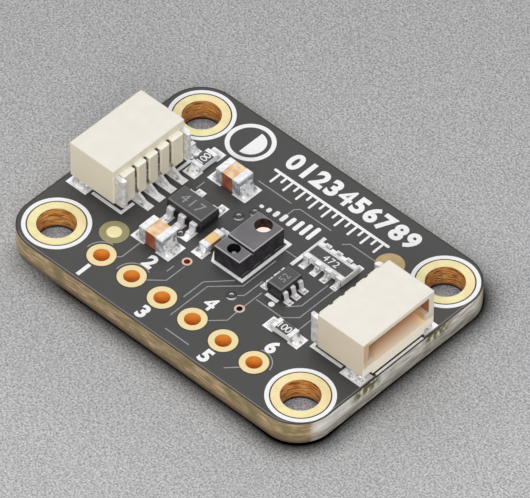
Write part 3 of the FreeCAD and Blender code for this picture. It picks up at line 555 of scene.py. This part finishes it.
def outline_distance(tree):
    place = place_parts(tree)
    past = []
    for axis, name in enumerate("XY"):
        off = math_step(tree, "SUBTRACT", place[name], board_middle[axis])
        straight = board_half[axis] - board_corner
        past.append(math_step(tree, "SUBTRACT", math_step(tree, "ABSOLUTE", off), straight))
    outer = distance(tree, *[math_step(tree, "MAXIMUM", way, 0.0) for way in past])
    inner = math_step(tree, "MINIMUM", math_step(tree, "MAXIMUM", *past), 0.0)
    return math_step(tree, "SUBTRACT", math_step(tree, "ADD", outer, inner), board_corner)


print("half of the board in mm", [round(v / mm, 2) for v in board_half])

# %% [markdown]
# From above, the lacquer is a soft black with a pale line along its front and right
# edge, where it thins out, which is a painted highlight, and a dark one outside it.
# Real thickness would be a few hundredths of a millimetre, so both lines are tints
# that follow the outline.

# %% Lacquer
lacquer = finish(
    "lacquered board", speckle, (60, 60, 59), (68, 67, 67), 3, 0.5, 0.08,
    height=0.0008, specular=0.45)
tree = lacquer.node_tree
rim_way = outline_distance(tree)
front_or_right = math_step(
    tree, "MAXIMUM", within(lacquer, ("Y", -8.3, -8.5)), within(lacquer, ("X", 11.9, 12.1)))
# Painted highlight along the front and right edge of the lacquer.
edge_highlight = both(lacquer, ramp(tree, rim_way, -0.19 * mm, -0.17 * mm), front_or_right)
two_tone(lacquer, within(lacquer, ("Z", 1.5, 1.55), mask=edge_highlight), (124, 119, 114))
two_tone(lacquer, ramp(tree, rim_way, -0.12 * mm, -0.1 * mm), (46, 42, 40))
print("lacquer", len(tree.nodes), "nodes")

# %% [markdown]
# The sawn sides show the laminate: brown resin with level streaks of glass, greyer
# and, as painted light, brighter on the right, and olive where the pads come close.
# Layers could be modelled, but streaks and patches read the same.

# %% Sawn sides
streaks = (0.1, level_streaks)
any_side = tilt_mask(lacquer, "Side")
right_side = tilt_mask(lacquer, "Right")
resin_patches = patches(lacquer, speckle, 1.1, 0.4, 0.7)
by_pads = within(lacquer, ("off Y", 1.7, 2.2), ("off Y", 4.6, 3.8), ("Z", 0.6, 1.1))
by_pads = both(lacquer, by_pads, patches(lacquer, speckle, 2.4, 0.38, 0.5))
side_tints = {
    "sides": (any_side, (230, 200, 158), (158, 132, 100), 0.9, *streaks),
    "resin patches": (both(lacquer, any_side, resin_patches), (150, 136, 94)),
    "foot": (within(lacquer, ("Z", 0.6, 0.1), mask=any_side), (126, 108, 88)),
    "left side": (
        both(lacquer, any_side, tilt_mask(lacquer, "Left")),
        (232, 216, 184), (184, 164, 130), 0.8, *streaks),
    # Painted light on the right side.
    "right side": (right_side, (252, 248, 240), (196, 190, 176), 0.8, *streaks),
    "low right side": (
        within(lacquer, ("Z", 0.95, 0.45), mask=right_side),
        (200, 194, 184), (146, 140, 128), 1.0, *streaks),
    "bright front corner": (
        within(lacquer, ("Y", -0.5, -4.8), ("Z", 0.4, 0.8), mask=right_side),
        (255, 255, 250), (232, 228, 214), 0.8, *streaks),
    "olive by the pads": (both(lacquer, by_pads, right_side), (118, 112, 62))}
for mask, *look in side_tints.values():
    two_tone(lacquer, mask, *look)
print("side tints", list(side_tints))

# %% [markdown]
# Each plated hole has a ring on the underside too. Ten flat rings could be laid
# there, but nothing stands on them, so a mask on the hole grid draws them: mirrored
# for the four corners, repeated at each step of the grid for the header.

# %% Rings on the underside
hole_step, header_holes = 2.54, 6
hole_x, hole_y = 4 * hole_step, 2.5 * hole_step
header_end = header_holes / 2 * hole_step
corner_ring_radius, header_ring_radius = 1.8, 0.91
place = place_parts(tree)
at_x, at_y = [math_step(tree, "DIVIDE", place[name], mm) for name in "XY"]
off_x, off_y = [math_step(tree, "ABSOLUTE", at) for at in (at_x, at_y)]


def ring_at(across, along, radius):
    return ramp(tree, distance(tree, across, along), radius, radius - 0.01)


corner_ring = ring_at(
    math_step(tree, "SUBTRACT", off_x, hole_x), math_step(tree, "SUBTRACT", off_y, hole_y),
    corner_ring_radius)
steps_along = math_step(tree, "DIVIDE", at_x, hole_step)
past_hole = math_step(tree, "SUBTRACT", math_step(tree, "FRACT", steps_along), 0.5)
header_ring = ring_at(
    math_step(tree, "MULTIPLY", past_hole, hole_step),
    math_step(tree, "ADD", at_y, hole_y), header_ring_radius)
header_ring = both(lacquer, header_ring, ramp(tree, off_x, header_end, header_end - 0.02))
any_ring = math_step(tree, "MAXIMUM", corner_ring, header_ring)
two_tone(lacquer, within(lacquer, ("Z", 0.002, 0.001), mask=any_ring), pale_gold)
print("rings underneath", 4 + header_holes)

# %% [markdown]
# The sensor looks out through two round windows. They could be glass over chips,
# but in the photograph one is a milky pale filling and the other a black glossy
# one with a small bright reflection, so both are plain glossy resins. The pale one
# glows a little as painted light, and the reflection on the black one is painted.

# %% Windows
pale_window = finish(
    "pale window", speckle, (255, 242, 234), (252, 222, 206), 5, 0.1, 0.05)
# Painted light: the pale window glows.
glow(pale_window, pale_window.node_tree.nodes["look"].outputs["Colour"], 0.8)
dark_window = finish("dark window", speckle, (30, 29, 31), (44, 43, 46), 5, 0.12, 0.05)
# Painted reflection: a small bright spot on the dark window.
two_tone(dark_window, spot_mask(dark_window, -0.23, -1.17, 0.14), (255, 253, 255))
print("windows", pale_window.name, dark_window.name)

# %% [markdown]
# Now each solid takes its finish. The record that came with the solids says which
# material slot each one belongs to, so a table from slot to finish covers them all,
# and only a few pieces differ from their slot.

# %% Dress the solids
finish_of_slot = {
    "solder_mask": lacquer, "white_ink": white_ink, "gold_plate": plating,
    "solder": solder, "socket_moulding": cream, "tinned_metal": tinned,
    "chip_metal": chip_metal, "sensor_moulding": sensor_black,
    "package_moulding": chip_black, "clear_window": pale_window,
    "tan_ceramic": tan_ceramic, "white_ceramic": white_ceramic, "black_glaze": glaze_black}
finish_of_node = {
    "alignment_dot": gold, "capacitor_small_ceramic": yellow_ceramic,
    "solder_pads_sockets": bare_pad, "solder_pads_chips": bare_pad,
    "sensor_detector_window": dark_window}
for n in range(header_holes):
    finish_of_node[f"header_eyelet_{n + 1}"] = header_plating
slot_of_node = {s["node"]: s["material_slot"] for s in frame["record"]["subparts"]}
for name, solid in nodes.items():
    solid.data.materials.clear()
    solid.data.materials.append(finish_of_node.get(name, finish_of_slot[slot_of_node[name]]))
print("dressed", len(nodes))

# %% [markdown]
# The new pieces are modelled in edit mode as by hand. These helpers keep that
# short: one selects a piece alone, one picks faces or edges by a rule, one applies
# the piece's place to its mesh and hands it over to the board.

# %% Modelling helpers
def alone(piece):
    bpy.ops.object.select_all(action="DESELECT")
    piece.select_set(True)
    bpy.context.view_layer.objects.active = piece


def pick(piece, kind, wanted):
    bpy.ops.mesh.select_mode(type=kind)
    bpy.ops.mesh.select_all(action="DESELECT")
    mesh = bmesh.from_edit_mesh(piece.data)
    for element in mesh.edges if kind == "EDGE" else mesh.faces:
        if wanted(element):
            element.select_set(True)
    mesh.select_flush_mode()
    bmesh.update_edit_mesh(piece.data)


def block(x, y, z, length, width, height):
    bpy.ops.mesh.primitive_cube_add(size=1, location=(x * mm, y * mm, z * mm))
    piece = bpy.context.object
    piece.scale = (length * mm, width * mm, height * mm)
    bpy.ops.object.transform_apply(location=True, rotation=True, scale=True)
    bpy.ops.object.mode_set(mode="EDIT")
    return piece


def thicken(thick):
    bpy.ops.mesh.extrude_region_move(TRANSFORM_OT_translate={"value": (0, 0, thick * mm)})
    bpy.ops.mesh.select_all(action="SELECT")
    bpy.ops.mesh.normals_make_consistent(inside=False)
    bpy.ops.object.mode_set(mode="OBJECT")


def hand_over(piece, name, material, slot):
    alone(piece)
    bpy.ops.object.transform_apply(location=True, rotation=True, scale=True)
    piece.name = name
    piece.data.name = name
    piece.data.materials.clear()
    piece.data.materials.append(material)
    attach(piece, "root")
    return piece


print("modelling helpers", [f.__name__ for f in (alone, pick, block, hand_over)])

# %% [markdown]
# Rings, dots and bare patches are thin flat shapes. A circle is filled, inset to
# the width of the ring, opened in the middle and extruded upwards, which is quicker
# and cleaner than cutting one cylinder out of another.

# %% Flat rings and discs
board_top = 1.6
skin = 0.004
header_gap, corner_gap = (0.9, 1.0), (1.79, 1.9)


def washer(name, x, y, z, inner, outer, thick, material, slot, corners=56):
    bpy.ops.mesh.primitive_circle_add(
        vertices=corners, radius=outer * mm, fill_type="NGON",
        location=(x * mm, y * mm, z * mm))
    piece = bpy.context.object
    bpy.ops.object.mode_set(mode="EDIT")
    bpy.ops.mesh.select_mode(type="FACE")
    bpy.ops.mesh.select_all(action="SELECT")
    if inner > 0:
        bpy.ops.mesh.inset(thickness=(outer - inner) * mm)
        bpy.ops.mesh.delete(type="FACE")
        bpy.ops.mesh.select_all(action="SELECT")
    thicken(thick)
    hand_over(piece, name, material, slot)


gap = finish("lacquer gap", speckle, (62, 56, 40), (52, 48, 36), 5, 0.5)
for n in range(header_holes):
    washer(f"header_gap_{n + 1}", hole_step * (n - 2.5), -hole_y, board_top,
           *header_gap, skin, gap, "fibreglass")
corners = [(x, y) for x in (-hole_x, hole_x) for y in (-hole_y, hole_y)]
for n, (x, y) in enumerate(corners):
    washer(f"mounting_gap_{n + 1}", x, y, board_top, *corner_gap, skin, gap, "fibreglass")
print("lacquer gaps", header_holes + len(corners))

# %% [markdown]
# Round the two alignment dots the lacquer is left open, and two vias are open as
# well: a rose rim round a dark bore. The bores go through the board in truth, but
# they are so narrow that a disc of painted shade shows the same: black in one, and
# red-brown in the other, where copper shows in the shade.

# %% Bare patches and open vias
patch_radius, rim_inner, rim_outer, bore_radius = 0.93, 0.2, 0.33, 0.21
bare = finish(
    "bare laminate", speckle, (164, 155, 112), (150, 142, 100), 5, 0.45, specular=0.4)
bare_warm = finish(
    "warm bare laminate", speckle, (206, 176, 124), (186, 160, 110), 2, 0.45, specular=0.4)
rose = finish(
    "rose plated rim", speckle, (226, 196, 184), (206, 172, 160), 8, 0.45, metallic=0.3)
deep_red = finish(
    "red-brown bore", speckle, (122, 40, 14), (100, 32, 12), 8, 0.6, specular=0.0)
deep_black = finish(
    "black bore", speckle, (30, 20, 18), (22, 16, 14), 8, 0.6, specular=0.0)
for name, x, y, finish_of_patch in (
        ("alignment_patch_front", -7.13, -4.45, bare),
        ("alignment_patch_back", 6.77, 5.09, bare_warm)):
    washer(name, x, y, board_top, 0.0, patch_radius, skin, finish_of_patch, "fibreglass")
for n, (x, y, dark) in enumerate(((2.72, -3.79, deep_black), (-2.24, -3.17, deep_red))):
    washer(f"open_via_ring_{n + 1}", x, y, board_top, rim_inner, rim_outer, 2 * skin, rose,
           "gold_plate", 32)
    # Painted shade: a dark disc stands for the open bore.
    washer(f"open_via_bore_{n + 1}", x, y, board_top, 0.0, bore_radius, skin, dark,
           "fibreglass", 32)
print("patches and open vias", 2 + 2)

# %% [markdown]
# Copper tracks run under the lacquer and show as low ridges that catch the light.
# A groove or a painted line would look flat, so each route is a curve with a round
# section, made a mesh and pressed down to a low swelling.

# %% Ridges
track_rise, arc_steps = 0.3, 14


def press_down(piece, share):
    alone(piece)
    bpy.ops.object.mode_set(mode="EDIT")
    bpy.ops.mesh.select_all(action="SELECT")
    bpy.ops.transform.resize(value=(1, 1, share), center_override=(0, 0, board_top * mm))
    bpy.ops.object.mode_set(mode="OBJECT")


def ridges(name, routes, width, material):
    curve = bpy.data.curves.new(name, "CURVE")
    curve.dimensions = "3D"
    curve.bevel_depth = width / 2 * mm
    curve.bevel_resolution = 1
    curve.use_fill_caps = True
    for route in routes:
        line = curve.splines.new("POLY")
        line.points.add(len(route) - 1)
        for point, (x, y) in zip(line.points, route):
            point.co = (x * mm, y * mm, board_top * mm, 1)
    piece = bpy.data.objects.new(name, curve)
    bpy.context.scene.collection.objects.link(piece)
    alone(piece)
    bpy.ops.object.convert(target="MESH")
    piece = bpy.context.object
    press_down(piece, track_rise)
    hand_over(piece, name, material, "solder_mask")


def arc(x, y, radius, start, end):
    turns = [start + (end - start) * n / arc_steps for n in range(arc_steps + 1)]
    angles = [math.radians(turn) for turn in turns]
    return [(x + radius * math.cos(a), y + radius * math.sin(a)) for a in angles]


print("ridges rise by", track_rise, "of their half width")

# %% [markdown]
# The routes follow the copper that shows through the lacquer, from pad to hole or
# from via to chip, with turns of 45 degrees as a board has them. Each could be a
# piece, but they are one layer of copper, so they are one mesh. Three arcs follow
# the rings of header holes.

# %% Tracks
track_width = 0.085
# Painted highlight: the pale colour of the ridges stands for the light they catch.
track_highlight = finish(
    "painted track highlight", speckle, (170, 169, 172), (150, 149, 152), 6, 0.4)
tracks = [
    [(-3.77, 4.71), (-1.0, 4.71)],
    [(-0.55, 3.7), (-0.55, 4.42), (-0.29, 4.71), (2.3, 4.71)],
    [(3.55, 4.32), (3.9, 4.68), (5.96, 4.68)],
    [(1.46, 1.62), (2.4, 1.62)],
    [(1.59, 0.57), (1.59, -2.29), (0.07, -3.8), (0.07, -7.0)],
    [(0.93, -2.29), (-0.375, -3.7), (-0.375, -5.4)],
    [(2.18, -1.2), (2.18, -2.8), (1.78, -3.2)],
    [(2.79, -1.93), (2.79, -3.5)],
    [(2.93, -2.55), (5.07, -2.55), (5.82, -1.84), (5.82, 1.64)],
    [(5.25, 1.29), (5.25, -1.04), (4.63, -1.75)],
    [(6.46, -1.04), (6.46, -2.82)],
    [(2.79, -4.07), (2.84, -4.96), (2.04, -5.77)],
    [(-2.07, -3.54), (-2.07, -5.14), (-2.96, -5.95)],
    [(-2.57, -3.98), (-2.57, -4.6)],
    [(-5.375, -3.98), (-5.375, -5.6), (-5.75, -5.98)],
    [(0.6, -8.0), (2.57, -8.0)],
    [(5.34, -7.9), (6.0, -7.2)],
    [(-6.09, 2.36), (-6.09, 1.64)],
    arc(-2.5 * hole_step, -hole_y, 1.1, 95, 185),
    arc(-1.5 * hole_step, -hole_y, 1.1, 60, 190),
    arc(2.5 * hole_step, -hole_y, 1.1, 10, 110)]
ridges("tracks", tracks, track_width, track_highlight)
print("tracks", len(tracks))

# %% [markdown]
# A via that is covered by lacquer shows as a small raised ring. A flat ring would
# have sharp edges; a torus that is pressed down towards the board has the round
# rim that catches the light, and a painted highlight on its front side adds to it.

# %% Covered vias
via_radius, via_rim, via_rise = 0.24, 0.11, 0.6
via_lacquer = finish("lacquer over a via", speckle, (52, 51, 53), (46, 45, 47), 6, 0.4)
# Painted highlight on the side of the rim that faces the front.
two_tone(via_lacquer, tilt_mask(via_lacquer, "Towards front"), (236, 235, 238))


def covered_via(name, x, y):
    bpy.ops.mesh.primitive_torus_add(
        major_segments=32, minor_segments=8, major_radius=via_radius * mm,
        minor_radius=via_rim * mm, location=(x * mm, y * mm, board_top * mm))
    piece = bpy.context.object
    bpy.ops.object.transform_apply(location=True, rotation=True, scale=True)
    press_down(piece, via_rise)
    bpy.ops.object.shade_smooth()
    hand_over(piece, name, via_lacquer, "solder_mask")


vias = [(-2.57, 1.7), (-2.1, 2.62), (-4.13, -1.78), (1.64, -3.36)]
for n, (x, y) in enumerate(vias):
    covered_via(f"covered_via_{n + 1}", x, y)
print("covered vias", len(vias))

# %% [markdown]
# Solder climbs from its pad up the metal it wets, steep at the top and flat at the
# foot. A soft blob would not show that hollow curve, so a block the size of the pad
# is extruded in steps that shrink towards the crown while they climb faster.

# %% Solder heap
pad_top = 1.62
heap_foot, heap_steps, heap_edge = 0.012, 5, 0.008


def solder_heap(name, base, crown, height):
    def span(box):
        return box[2] - box[0], box[3] - box[1], (box[0] + box[2]) / 2, (box[1] + box[3]) / 2

    length, width, x, y = span(base)
    heap = block(x, y, pad_top + heap_foot / 2, length, width, heap_foot)
    pick(heap, "FACE", lambda face: face.normal.z > 0.9)
    z = pad_top + heap_foot
    for n in range(1, heap_steps + 1):
        share = n / heap_steps
        goal = span([b + (c - b) * share for b, c in zip(base, crown)])
        rise = height * (share ** 2 - ((n - 1) / heap_steps) ** 2)
        bpy.ops.mesh.extrude_region_move(TRANSFORM_OT_translate={
            "value": ((goal[2] - x) * mm, (goal[3] - y) * mm, rise * mm)})
        z = z + rise
        bpy.ops.transform.resize(
            value=(goal[0] / length, goal[1] / width, 1),
            center_override=(goal[2] * mm, goal[3] * mm, z * mm))
        length, width, x, y = goal
    bpy.ops.object.mode_set(mode="OBJECT")
    soft = heap.modifiers.new("soft", "SUBSURF")
    soft.levels = 1
    crease = heap.modifiers.new("edge", "BEVEL")
    crease.width = heap_edge * mm
    bpy.ops.object.modifier_apply(modifier="soft")
    bpy.ops.object.modifier_apply(modifier="edge")
    bpy.ops.object.shade_smooth()
    return hand_over(heap, name, solder, "solder")


print("a heap climbs in", heap_steps, "steps")

# %% [markdown]
# The board has forty-three soldered joints of eight kinds. Each could be pulled
# into shape by hand, but an oven makes joints of one kind alike, so each kind is
# modelled once and stamped, with its own mesh, at each of its places.

# %% Solder at every joint
def stamp(model, name, x, y, turn):
    alone(model)
    bpy.ops.object.duplicate()
    copy = bpy.context.object
    copy.rotation_euler = (0, 0, math.radians(turn))
    copy.location = (x * mm, y * mm, 0)
    hand_over(copy, name, solder, "solder")


def rows(x, y, out, offsets, along, sides=(-1, 1)):
    if along == "x":
        return [(x + out * s, y + o, 0 if s > 0 else 180) for s in sides for o in offsets]
    return [(x + o, y + out * s, 90 * s) for s in sides for o in offsets]


bracket_places = [
    (11.42 * s, 2.86 * t, 0 if t > 0 else 180) for s in (-1, 1) for t in (-1, 1)]
capacitor_places = (
    rows(-4.65, 3.51, 0.98, (0,), "x") + rows(-4.65, -3.2, 0.98, (0,), "x"))
resistor_places = (
    rows(-7.2, 3.5, 0.78, (0,), "y") + rows(6.05, -3.33, 0.78, (0,), "x")
    + rows(-9.24, 3.67, 0.78, (0,), "x"))
regulator_places = (
    rows(-4.65, -0.15, 1.42, (-0.95, 0, 0.95), "y", (-1,))
    + rows(-4.65, -0.15, 1.42, (-0.95, 0.95), "y", (1,)))
for label, base, crown, height, places in (
        ("tail_solder", (-0.72, -0.27, 0.72, 0.27), (-0.5, -0.1, 0.66, 0.1), 0.2,
         rows(0, 0, 3 * hole_step, (-1.5, -0.5, 0.5, 1.5), "x")),
        ("bracket_solder", (-0.82, -0.57, 0.82, 0.57), (-0.6, -0.2, 0.5, 0.2), 0.3,
         bracket_places),
        ("capacitor_solder", (-0.05, -0.74, 0.6, 0.74), (-0.06, -0.6, 0.02, 0.6), 0.85,
         capacitor_places),
        ("small_capacitor_solder", (-0.05, -0.48, 0.66, 0.48), (-0.06, -0.3, 0.02, 0.3), 0.4,
         rows(-2.18, -1.05, 0.81, (0,), "y")),
        ("resistor_solder", (-0.05, -0.48, 0.6, 0.48), (-0.06, -0.38, 0.02, 0.38), 0.36,
         resistor_places),
        ("terminal_solder", (-0.03, -0.22, 0.48, 0.22), (-0.04, -0.2, 0.02, 0.2), 0.4,
         rows(4.37, 2.49, 0.8, (-1.31, -0.41, 0.41, 1.31), "y")),
        ("regulator_solder", (-0.26, -0.29, 0.42, 0.29), (-0.24, -0.25, 0.02, 0.25), 0.1,
         regulator_places),
        ("transistor_solder", (-0.16, -0.19, 0.14, 0.19), (-0.12, -0.12, 0.02, 0.12), 0.1,
         rows(3.55, -0.75, 1.08, (-0.65, 0, 0.65), "x"))):
    model = solder_heap(f"{label}_model", base, crown, height)
    for n, (x, y, turn) in enumerate(places):
        stamp(model, f"{label}_{n + 1}", x, y, turn)
    bpy.data.objects.remove(model)
    print(label, len(places))

# %% [markdown]
# Numbers are printed beside the pins, above the ruler and on the chips. They could
# be drawn as curves by hand; Blender's own text object is quicker, made a mesh and
# scaled to the height that the print has.

# %% Printed numbers
def printed(name, words, x, y, z, height, thick, material, slot, turn=0.0, bold=0.0,
            spacing=1.0):
    bpy.ops.object.text_add(location=(0, 0, 0))
    text = bpy.context.object
    text.data.body = words
    text.data.resolution_u = 4
    text.data.extrude = 0.5
    text.data.bevel_depth = bold
    text.data.bevel_resolution = 1
    text.data.space_character = spacing
    bpy.ops.object.convert(target="MESH")
    piece = bpy.context.object
    low, high = Vector(piece.bound_box[0]), Vector(piece.bound_box[6])
    scale = height / (high.y - low.y)
    piece.data.transform(Matrix.Translation(-(low + high) / 2))
    piece.scale = (scale * mm, scale * mm, thick * mm)
    piece.rotation_euler = (0, 0, math.radians(turn))
    piece.location = (x * mm, y * mm, (z + thick / 2) * mm)
    hand_over(piece, name, material, slot)


ink_thick = 0.02
ruler_start, number_step = -3.2, 1.07
bold_digit, bold_four = 0.045, 0.02
pin_number_height, scale_number_height, scale_number_y = 1.1, 1.45, 7.42


def board_number(name, digit, x, y, height):
    printed(name, digit, x, y, board_top, height, ink_thick, white_ink, "white_ink",
            bold=bold_four if digit == "4" else bold_digit)


pin_places = [
    (-6.3, -7.95), (-3.8, -4.7), (-1.3, -7.95), (1.2, -4.7), (3.9, -7.95), (6.3, -4.7)]
for n, (x, y) in enumerate(pin_places):
    board_number(f"pin_number_{n + 1}", str(n + 1), x, y, pin_number_height)
for n in range(10):
    board_number(f"scale_number_{n}", str(n), ruler_start + number_step * n,
                 scale_number_y, scale_number_height)
print("numbers on the board", len(pin_places) + 10)

# %% [markdown]
# The chips carry short numbers, white on the glaze of the resistors and a faint
# grey on the black packages, where a laser has roughened the moulding. Painted
# numbers would blur close up, so they are the same kind of text, only thinner.

# %% Numbers on the chips
faint = finish("faint marking", speckle, (168, 167, 169), (120, 119, 121), 7, 0.6)
on_glaze, by_laser = (0.006, white_ink, "white_ink"), (0.004, faint, "package_moulding")
for name, digits, x, y, top, height, mark, turn, spacing in (
        ("network_number", "472", 4.4, 2.46, 2.16, 0.5, on_glaze, 0, 1.15),
        ("resistor_right_number", "100", 6.05, -3.33, 2.07, 0.52, on_glaze, 0, 0.9),
        ("resistor_left_number", "100", -7.2, 3.5, 2.07, 0.52, on_glaze, 90, 0.9),
        ("regulator_number", "417", -4.65, -0.17, 2.7, 0.74, by_laser, 0, 1.15),
        ("transistor_number", "52", 3.55, -0.75, 2.6, 0.5, by_laser, 90, 1.0)):
    printed(name, digits, x, y, top, height, *mark, turn=turn, spacing=spacing)
print("numbers on the chips", 5)

# %% [markdown]
# Under the scale numbers runs a ruler with long and short ticks, and beside it
# stands a level sign of eight growing bars. Each bar is one block with its corners
# rounded by a bevel, as printed ink has no sharp corners.

# %% Printed bars
def ink_bar(name, x0, y0, x1, y1):
    bar = block((x0 + x1) / 2, (y0 + y1) / 2, board_top + ink_thick / 2,
                x1 - x0, y1 - y0, ink_thick)

    def upright(edge):
        return abs((edge.verts[0].co - edge.verts[1].co).normalized().z) > 0.9

    pick(bar, "EDGE", upright)
    bpy.ops.mesh.bevel(offset=min(x1 - x0, y1 - y0) * 0.4 * mm, segments=3, affect="EDGES")
    bpy.ops.object.mode_set(mode="OBJECT")
    hand_over(bar, name, white_ink, "white_ink")


ruler_foot, long_foot, short_foot, half_tick = 6.0, 5.1, 5.5, 0.08
ink_bar("ruler_line", -3.75, ruler_foot, 5.8, ruler_foot + 0.2)
for n in range(17):
    x = ruler_start + number_step / 2 * n
    tick_foot = long_foot if n % 2 == 0 else short_foot
    ink_bar(f"ruler_tick_{n}", x - half_tick, tick_foot, x + half_tick, ruler_foot)
level_start, level_step, level_width, level_foot = -2.3, 0.55, 0.3, 3.15
for n in range(8):
    x = level_start + level_step * n
    ink_bar(f"level_bar_{n}", x, level_foot, x + level_width, level_foot + 0.25 + 0.14 * n)
print("ruler and level sign printed")

# %% [markdown]
# In the corner stands a contrast sign, a ring with one half filled. The half disc
# could be a cut cylinder; here it is a filled circle, bisected along its middle and
# extruded to the thickness of the ink.

# %% Contrast sign
sign_x, sign_y, disc_radius, sign_inner, sign_outer = -6.36, 6.73, 1.02, 1.3, 1.6
washer("contrast_ring", sign_x, sign_y, board_top, sign_inner, sign_outer, ink_thick,
       white_ink, "white_ink")
bpy.ops.mesh.primitive_circle_add(
    vertices=48, radius=disc_radius * mm, fill_type="NGON", location=(0, 0, 0))
half_disc = bpy.context.object
bpy.ops.object.mode_set(mode="EDIT")
bpy.ops.mesh.select_all(action="SELECT")
bpy.ops.mesh.bisect(plane_co=(0, 0, 0), plane_no=(1, 0, 0), clear_inner=True)
bpy.ops.mesh.select_all(action="SELECT")
thicken(ink_thick)
half_disc.location = (sign_x * mm, sign_y * mm, board_top * mm)
hand_over(half_disc, "contrast_half", white_ink, "white_ink")
print("contrast sign printed")

# %% [markdown]
# The filling of the emitter well stands a little higher than the CAD window. It
# could be a swollen drop, but the photograph shows it level, so it is a flat disc
# like the ones above, laid on the window. It glows a little, as painted light for
# the light that clear resin gathers.

# %% Filling of the emitter well
filling_foot, filling_height, filling_gap = 1.99, 0.22, 0.02
washer("emitter_filling", emitter_x, emitter_y, filling_foot, 0.0,
       emitter_radius - filling_gap, filling_height, pale_window, "clear_window", 40)
print("emitter well filled")

# %% [markdown]
# Between its two brackets each housing stands a little deeper, so that its lower lip
# nearly reaches the printed line. The solid could be made longer there, but a low
# block under the housing is the same to the eye: a cube, bevelled along its foot.

# %% Soles of the sockets
sole_inner, sole_outer, sole_width = 8.75, 12.17, 4.5
sole_middle_z, sole_height, sole_bevel = 1.94, 0.34, 0.03
for name, side in (("socket_left_sole", -1), ("socket_right_sole", 1)):
    sole = block(side * (sole_inner + sole_outer) / 2, 0, sole_middle_z,
                 sole_outer - sole_inner, sole_width, sole_height)
    pick(sole, "FACE", lambda face: face.normal.z < -0.9)
    bpy.ops.mesh.bevel(offset=sole_bevel * mm, segments=2, affect="EDGES")
    bpy.ops.object.mode_set(mode="OBJECT")
    hand_over(sole, name, cream, "socket_moulding")
print("soles made")

# %% [markdown]
# The board lies on a pale speckled table that is a little darker towards the back.
# A picture of a table would do, but two greys in a fine grain give the same look,
# and a slow change of their brightness gives the fall of the light.

# %% Floor finish
floor_finish = finish(
    "table", speckle, (222, 222, 223), (142, 142, 143), 8, 0.9, softness=0.2,
    height=0.0, specular=0.0)
tree = floor_finish.node_tree
place = place_parts(tree)
away = math_step(tree, "SUBTRACT", place["Y"], place["X"])
grade = tree.nodes.new("ShaderNodeMapRange")
fill(tree, grade, {
    "Value": away, "From Min": -0.032, "From Max": 0.032, "To Min": 1.02, "To Max": 0.855})
print("floor finish", floor_finish.name)

# %% [markdown]
# In the photograph a dark seam of shadow lies along the front and right edges, where
# the board meets the table. Soft lamps alone leave it too faint, so the rest is
# painted: a deep narrow part by the edge, a faint wide one, and more at the corner.
# Under the board, seen through the holes, the table is tinted a little bluish as
# painted light.

# %% Shadow at the foot of the board
near_reach, near_depth = 2.1 * mm, 0.92
wide_reach, wide_full, wide_depth = 9.0 * mm, 2.0 * mm, 0.1
corner_extra = 0.17
way_out = outline_distance(tree)
near = ramp(tree, way_out, near_reach, 0.0)
near = math_step(tree, "MULTIPLY", math_step(tree, "MULTIPLY", near, near), near_depth)
by_corner = ramp(tree, away, -0.0172, -0.0202)
by_corner = math_step(tree, "MULTIPLY_ADD", by_corner, corner_extra, 1.0)
near = math_step(tree, "MULTIPLY", near, by_corner)
wide = math_step(tree, "MULTIPLY", ramp(tree, way_out, wide_reach, wide_full), wide_depth)
shadow = math_step(tree, "ADD", near, wide)
for gate in (ramp(tree, away, 0.004, -0.002), ramp(tree, way_out, -0.4 * mm, -0.3 * mm)):
    shadow = math_step(tree, "MULTIPLY", shadow, gate)
shaded = math_step(tree, "SUBTRACT", 1.0, shadow)
brightness = tree.nodes.new("ShaderNodeHueSaturation")
fill(tree, brightness, {
    "Color": tree.nodes["look"].outputs["Colour"],
    "Value": math_step(tree, "MULTIPLY", grade.outputs["Result"], shaded)})
fill(tree, tree.nodes["Principled BSDF"], {"Base Color": brightness.outputs["Color"]})
# Painted light: the table under the board is tinted bluish.
two_tone(
    floor_finish, ramp(tree, way_out, -0.3 * mm, -0.4 * mm), (224, 240, 255), (138, 152, 178), 8)
print("shadow", near_depth, "deep by the edge,", wide_depth, "further out")

# %% [markdown]
# The floor itself is only a stage for the picture and no part of the module. A
# plain plane a hair below the board is enough.

# %% Floor
floor_size, floor_drop = 1.2, 0.02 * mm
bpy.ops.mesh.primitive_plane_add(size=floor_size, location=(0, 0, -floor_drop))
floor = bpy.context.object
floor.name = "table"
floor.data.materials.append(floor_finish)
bpy.ops.object.transform_apply(location=True, rotation=True, scale=True)
print("floor laid")
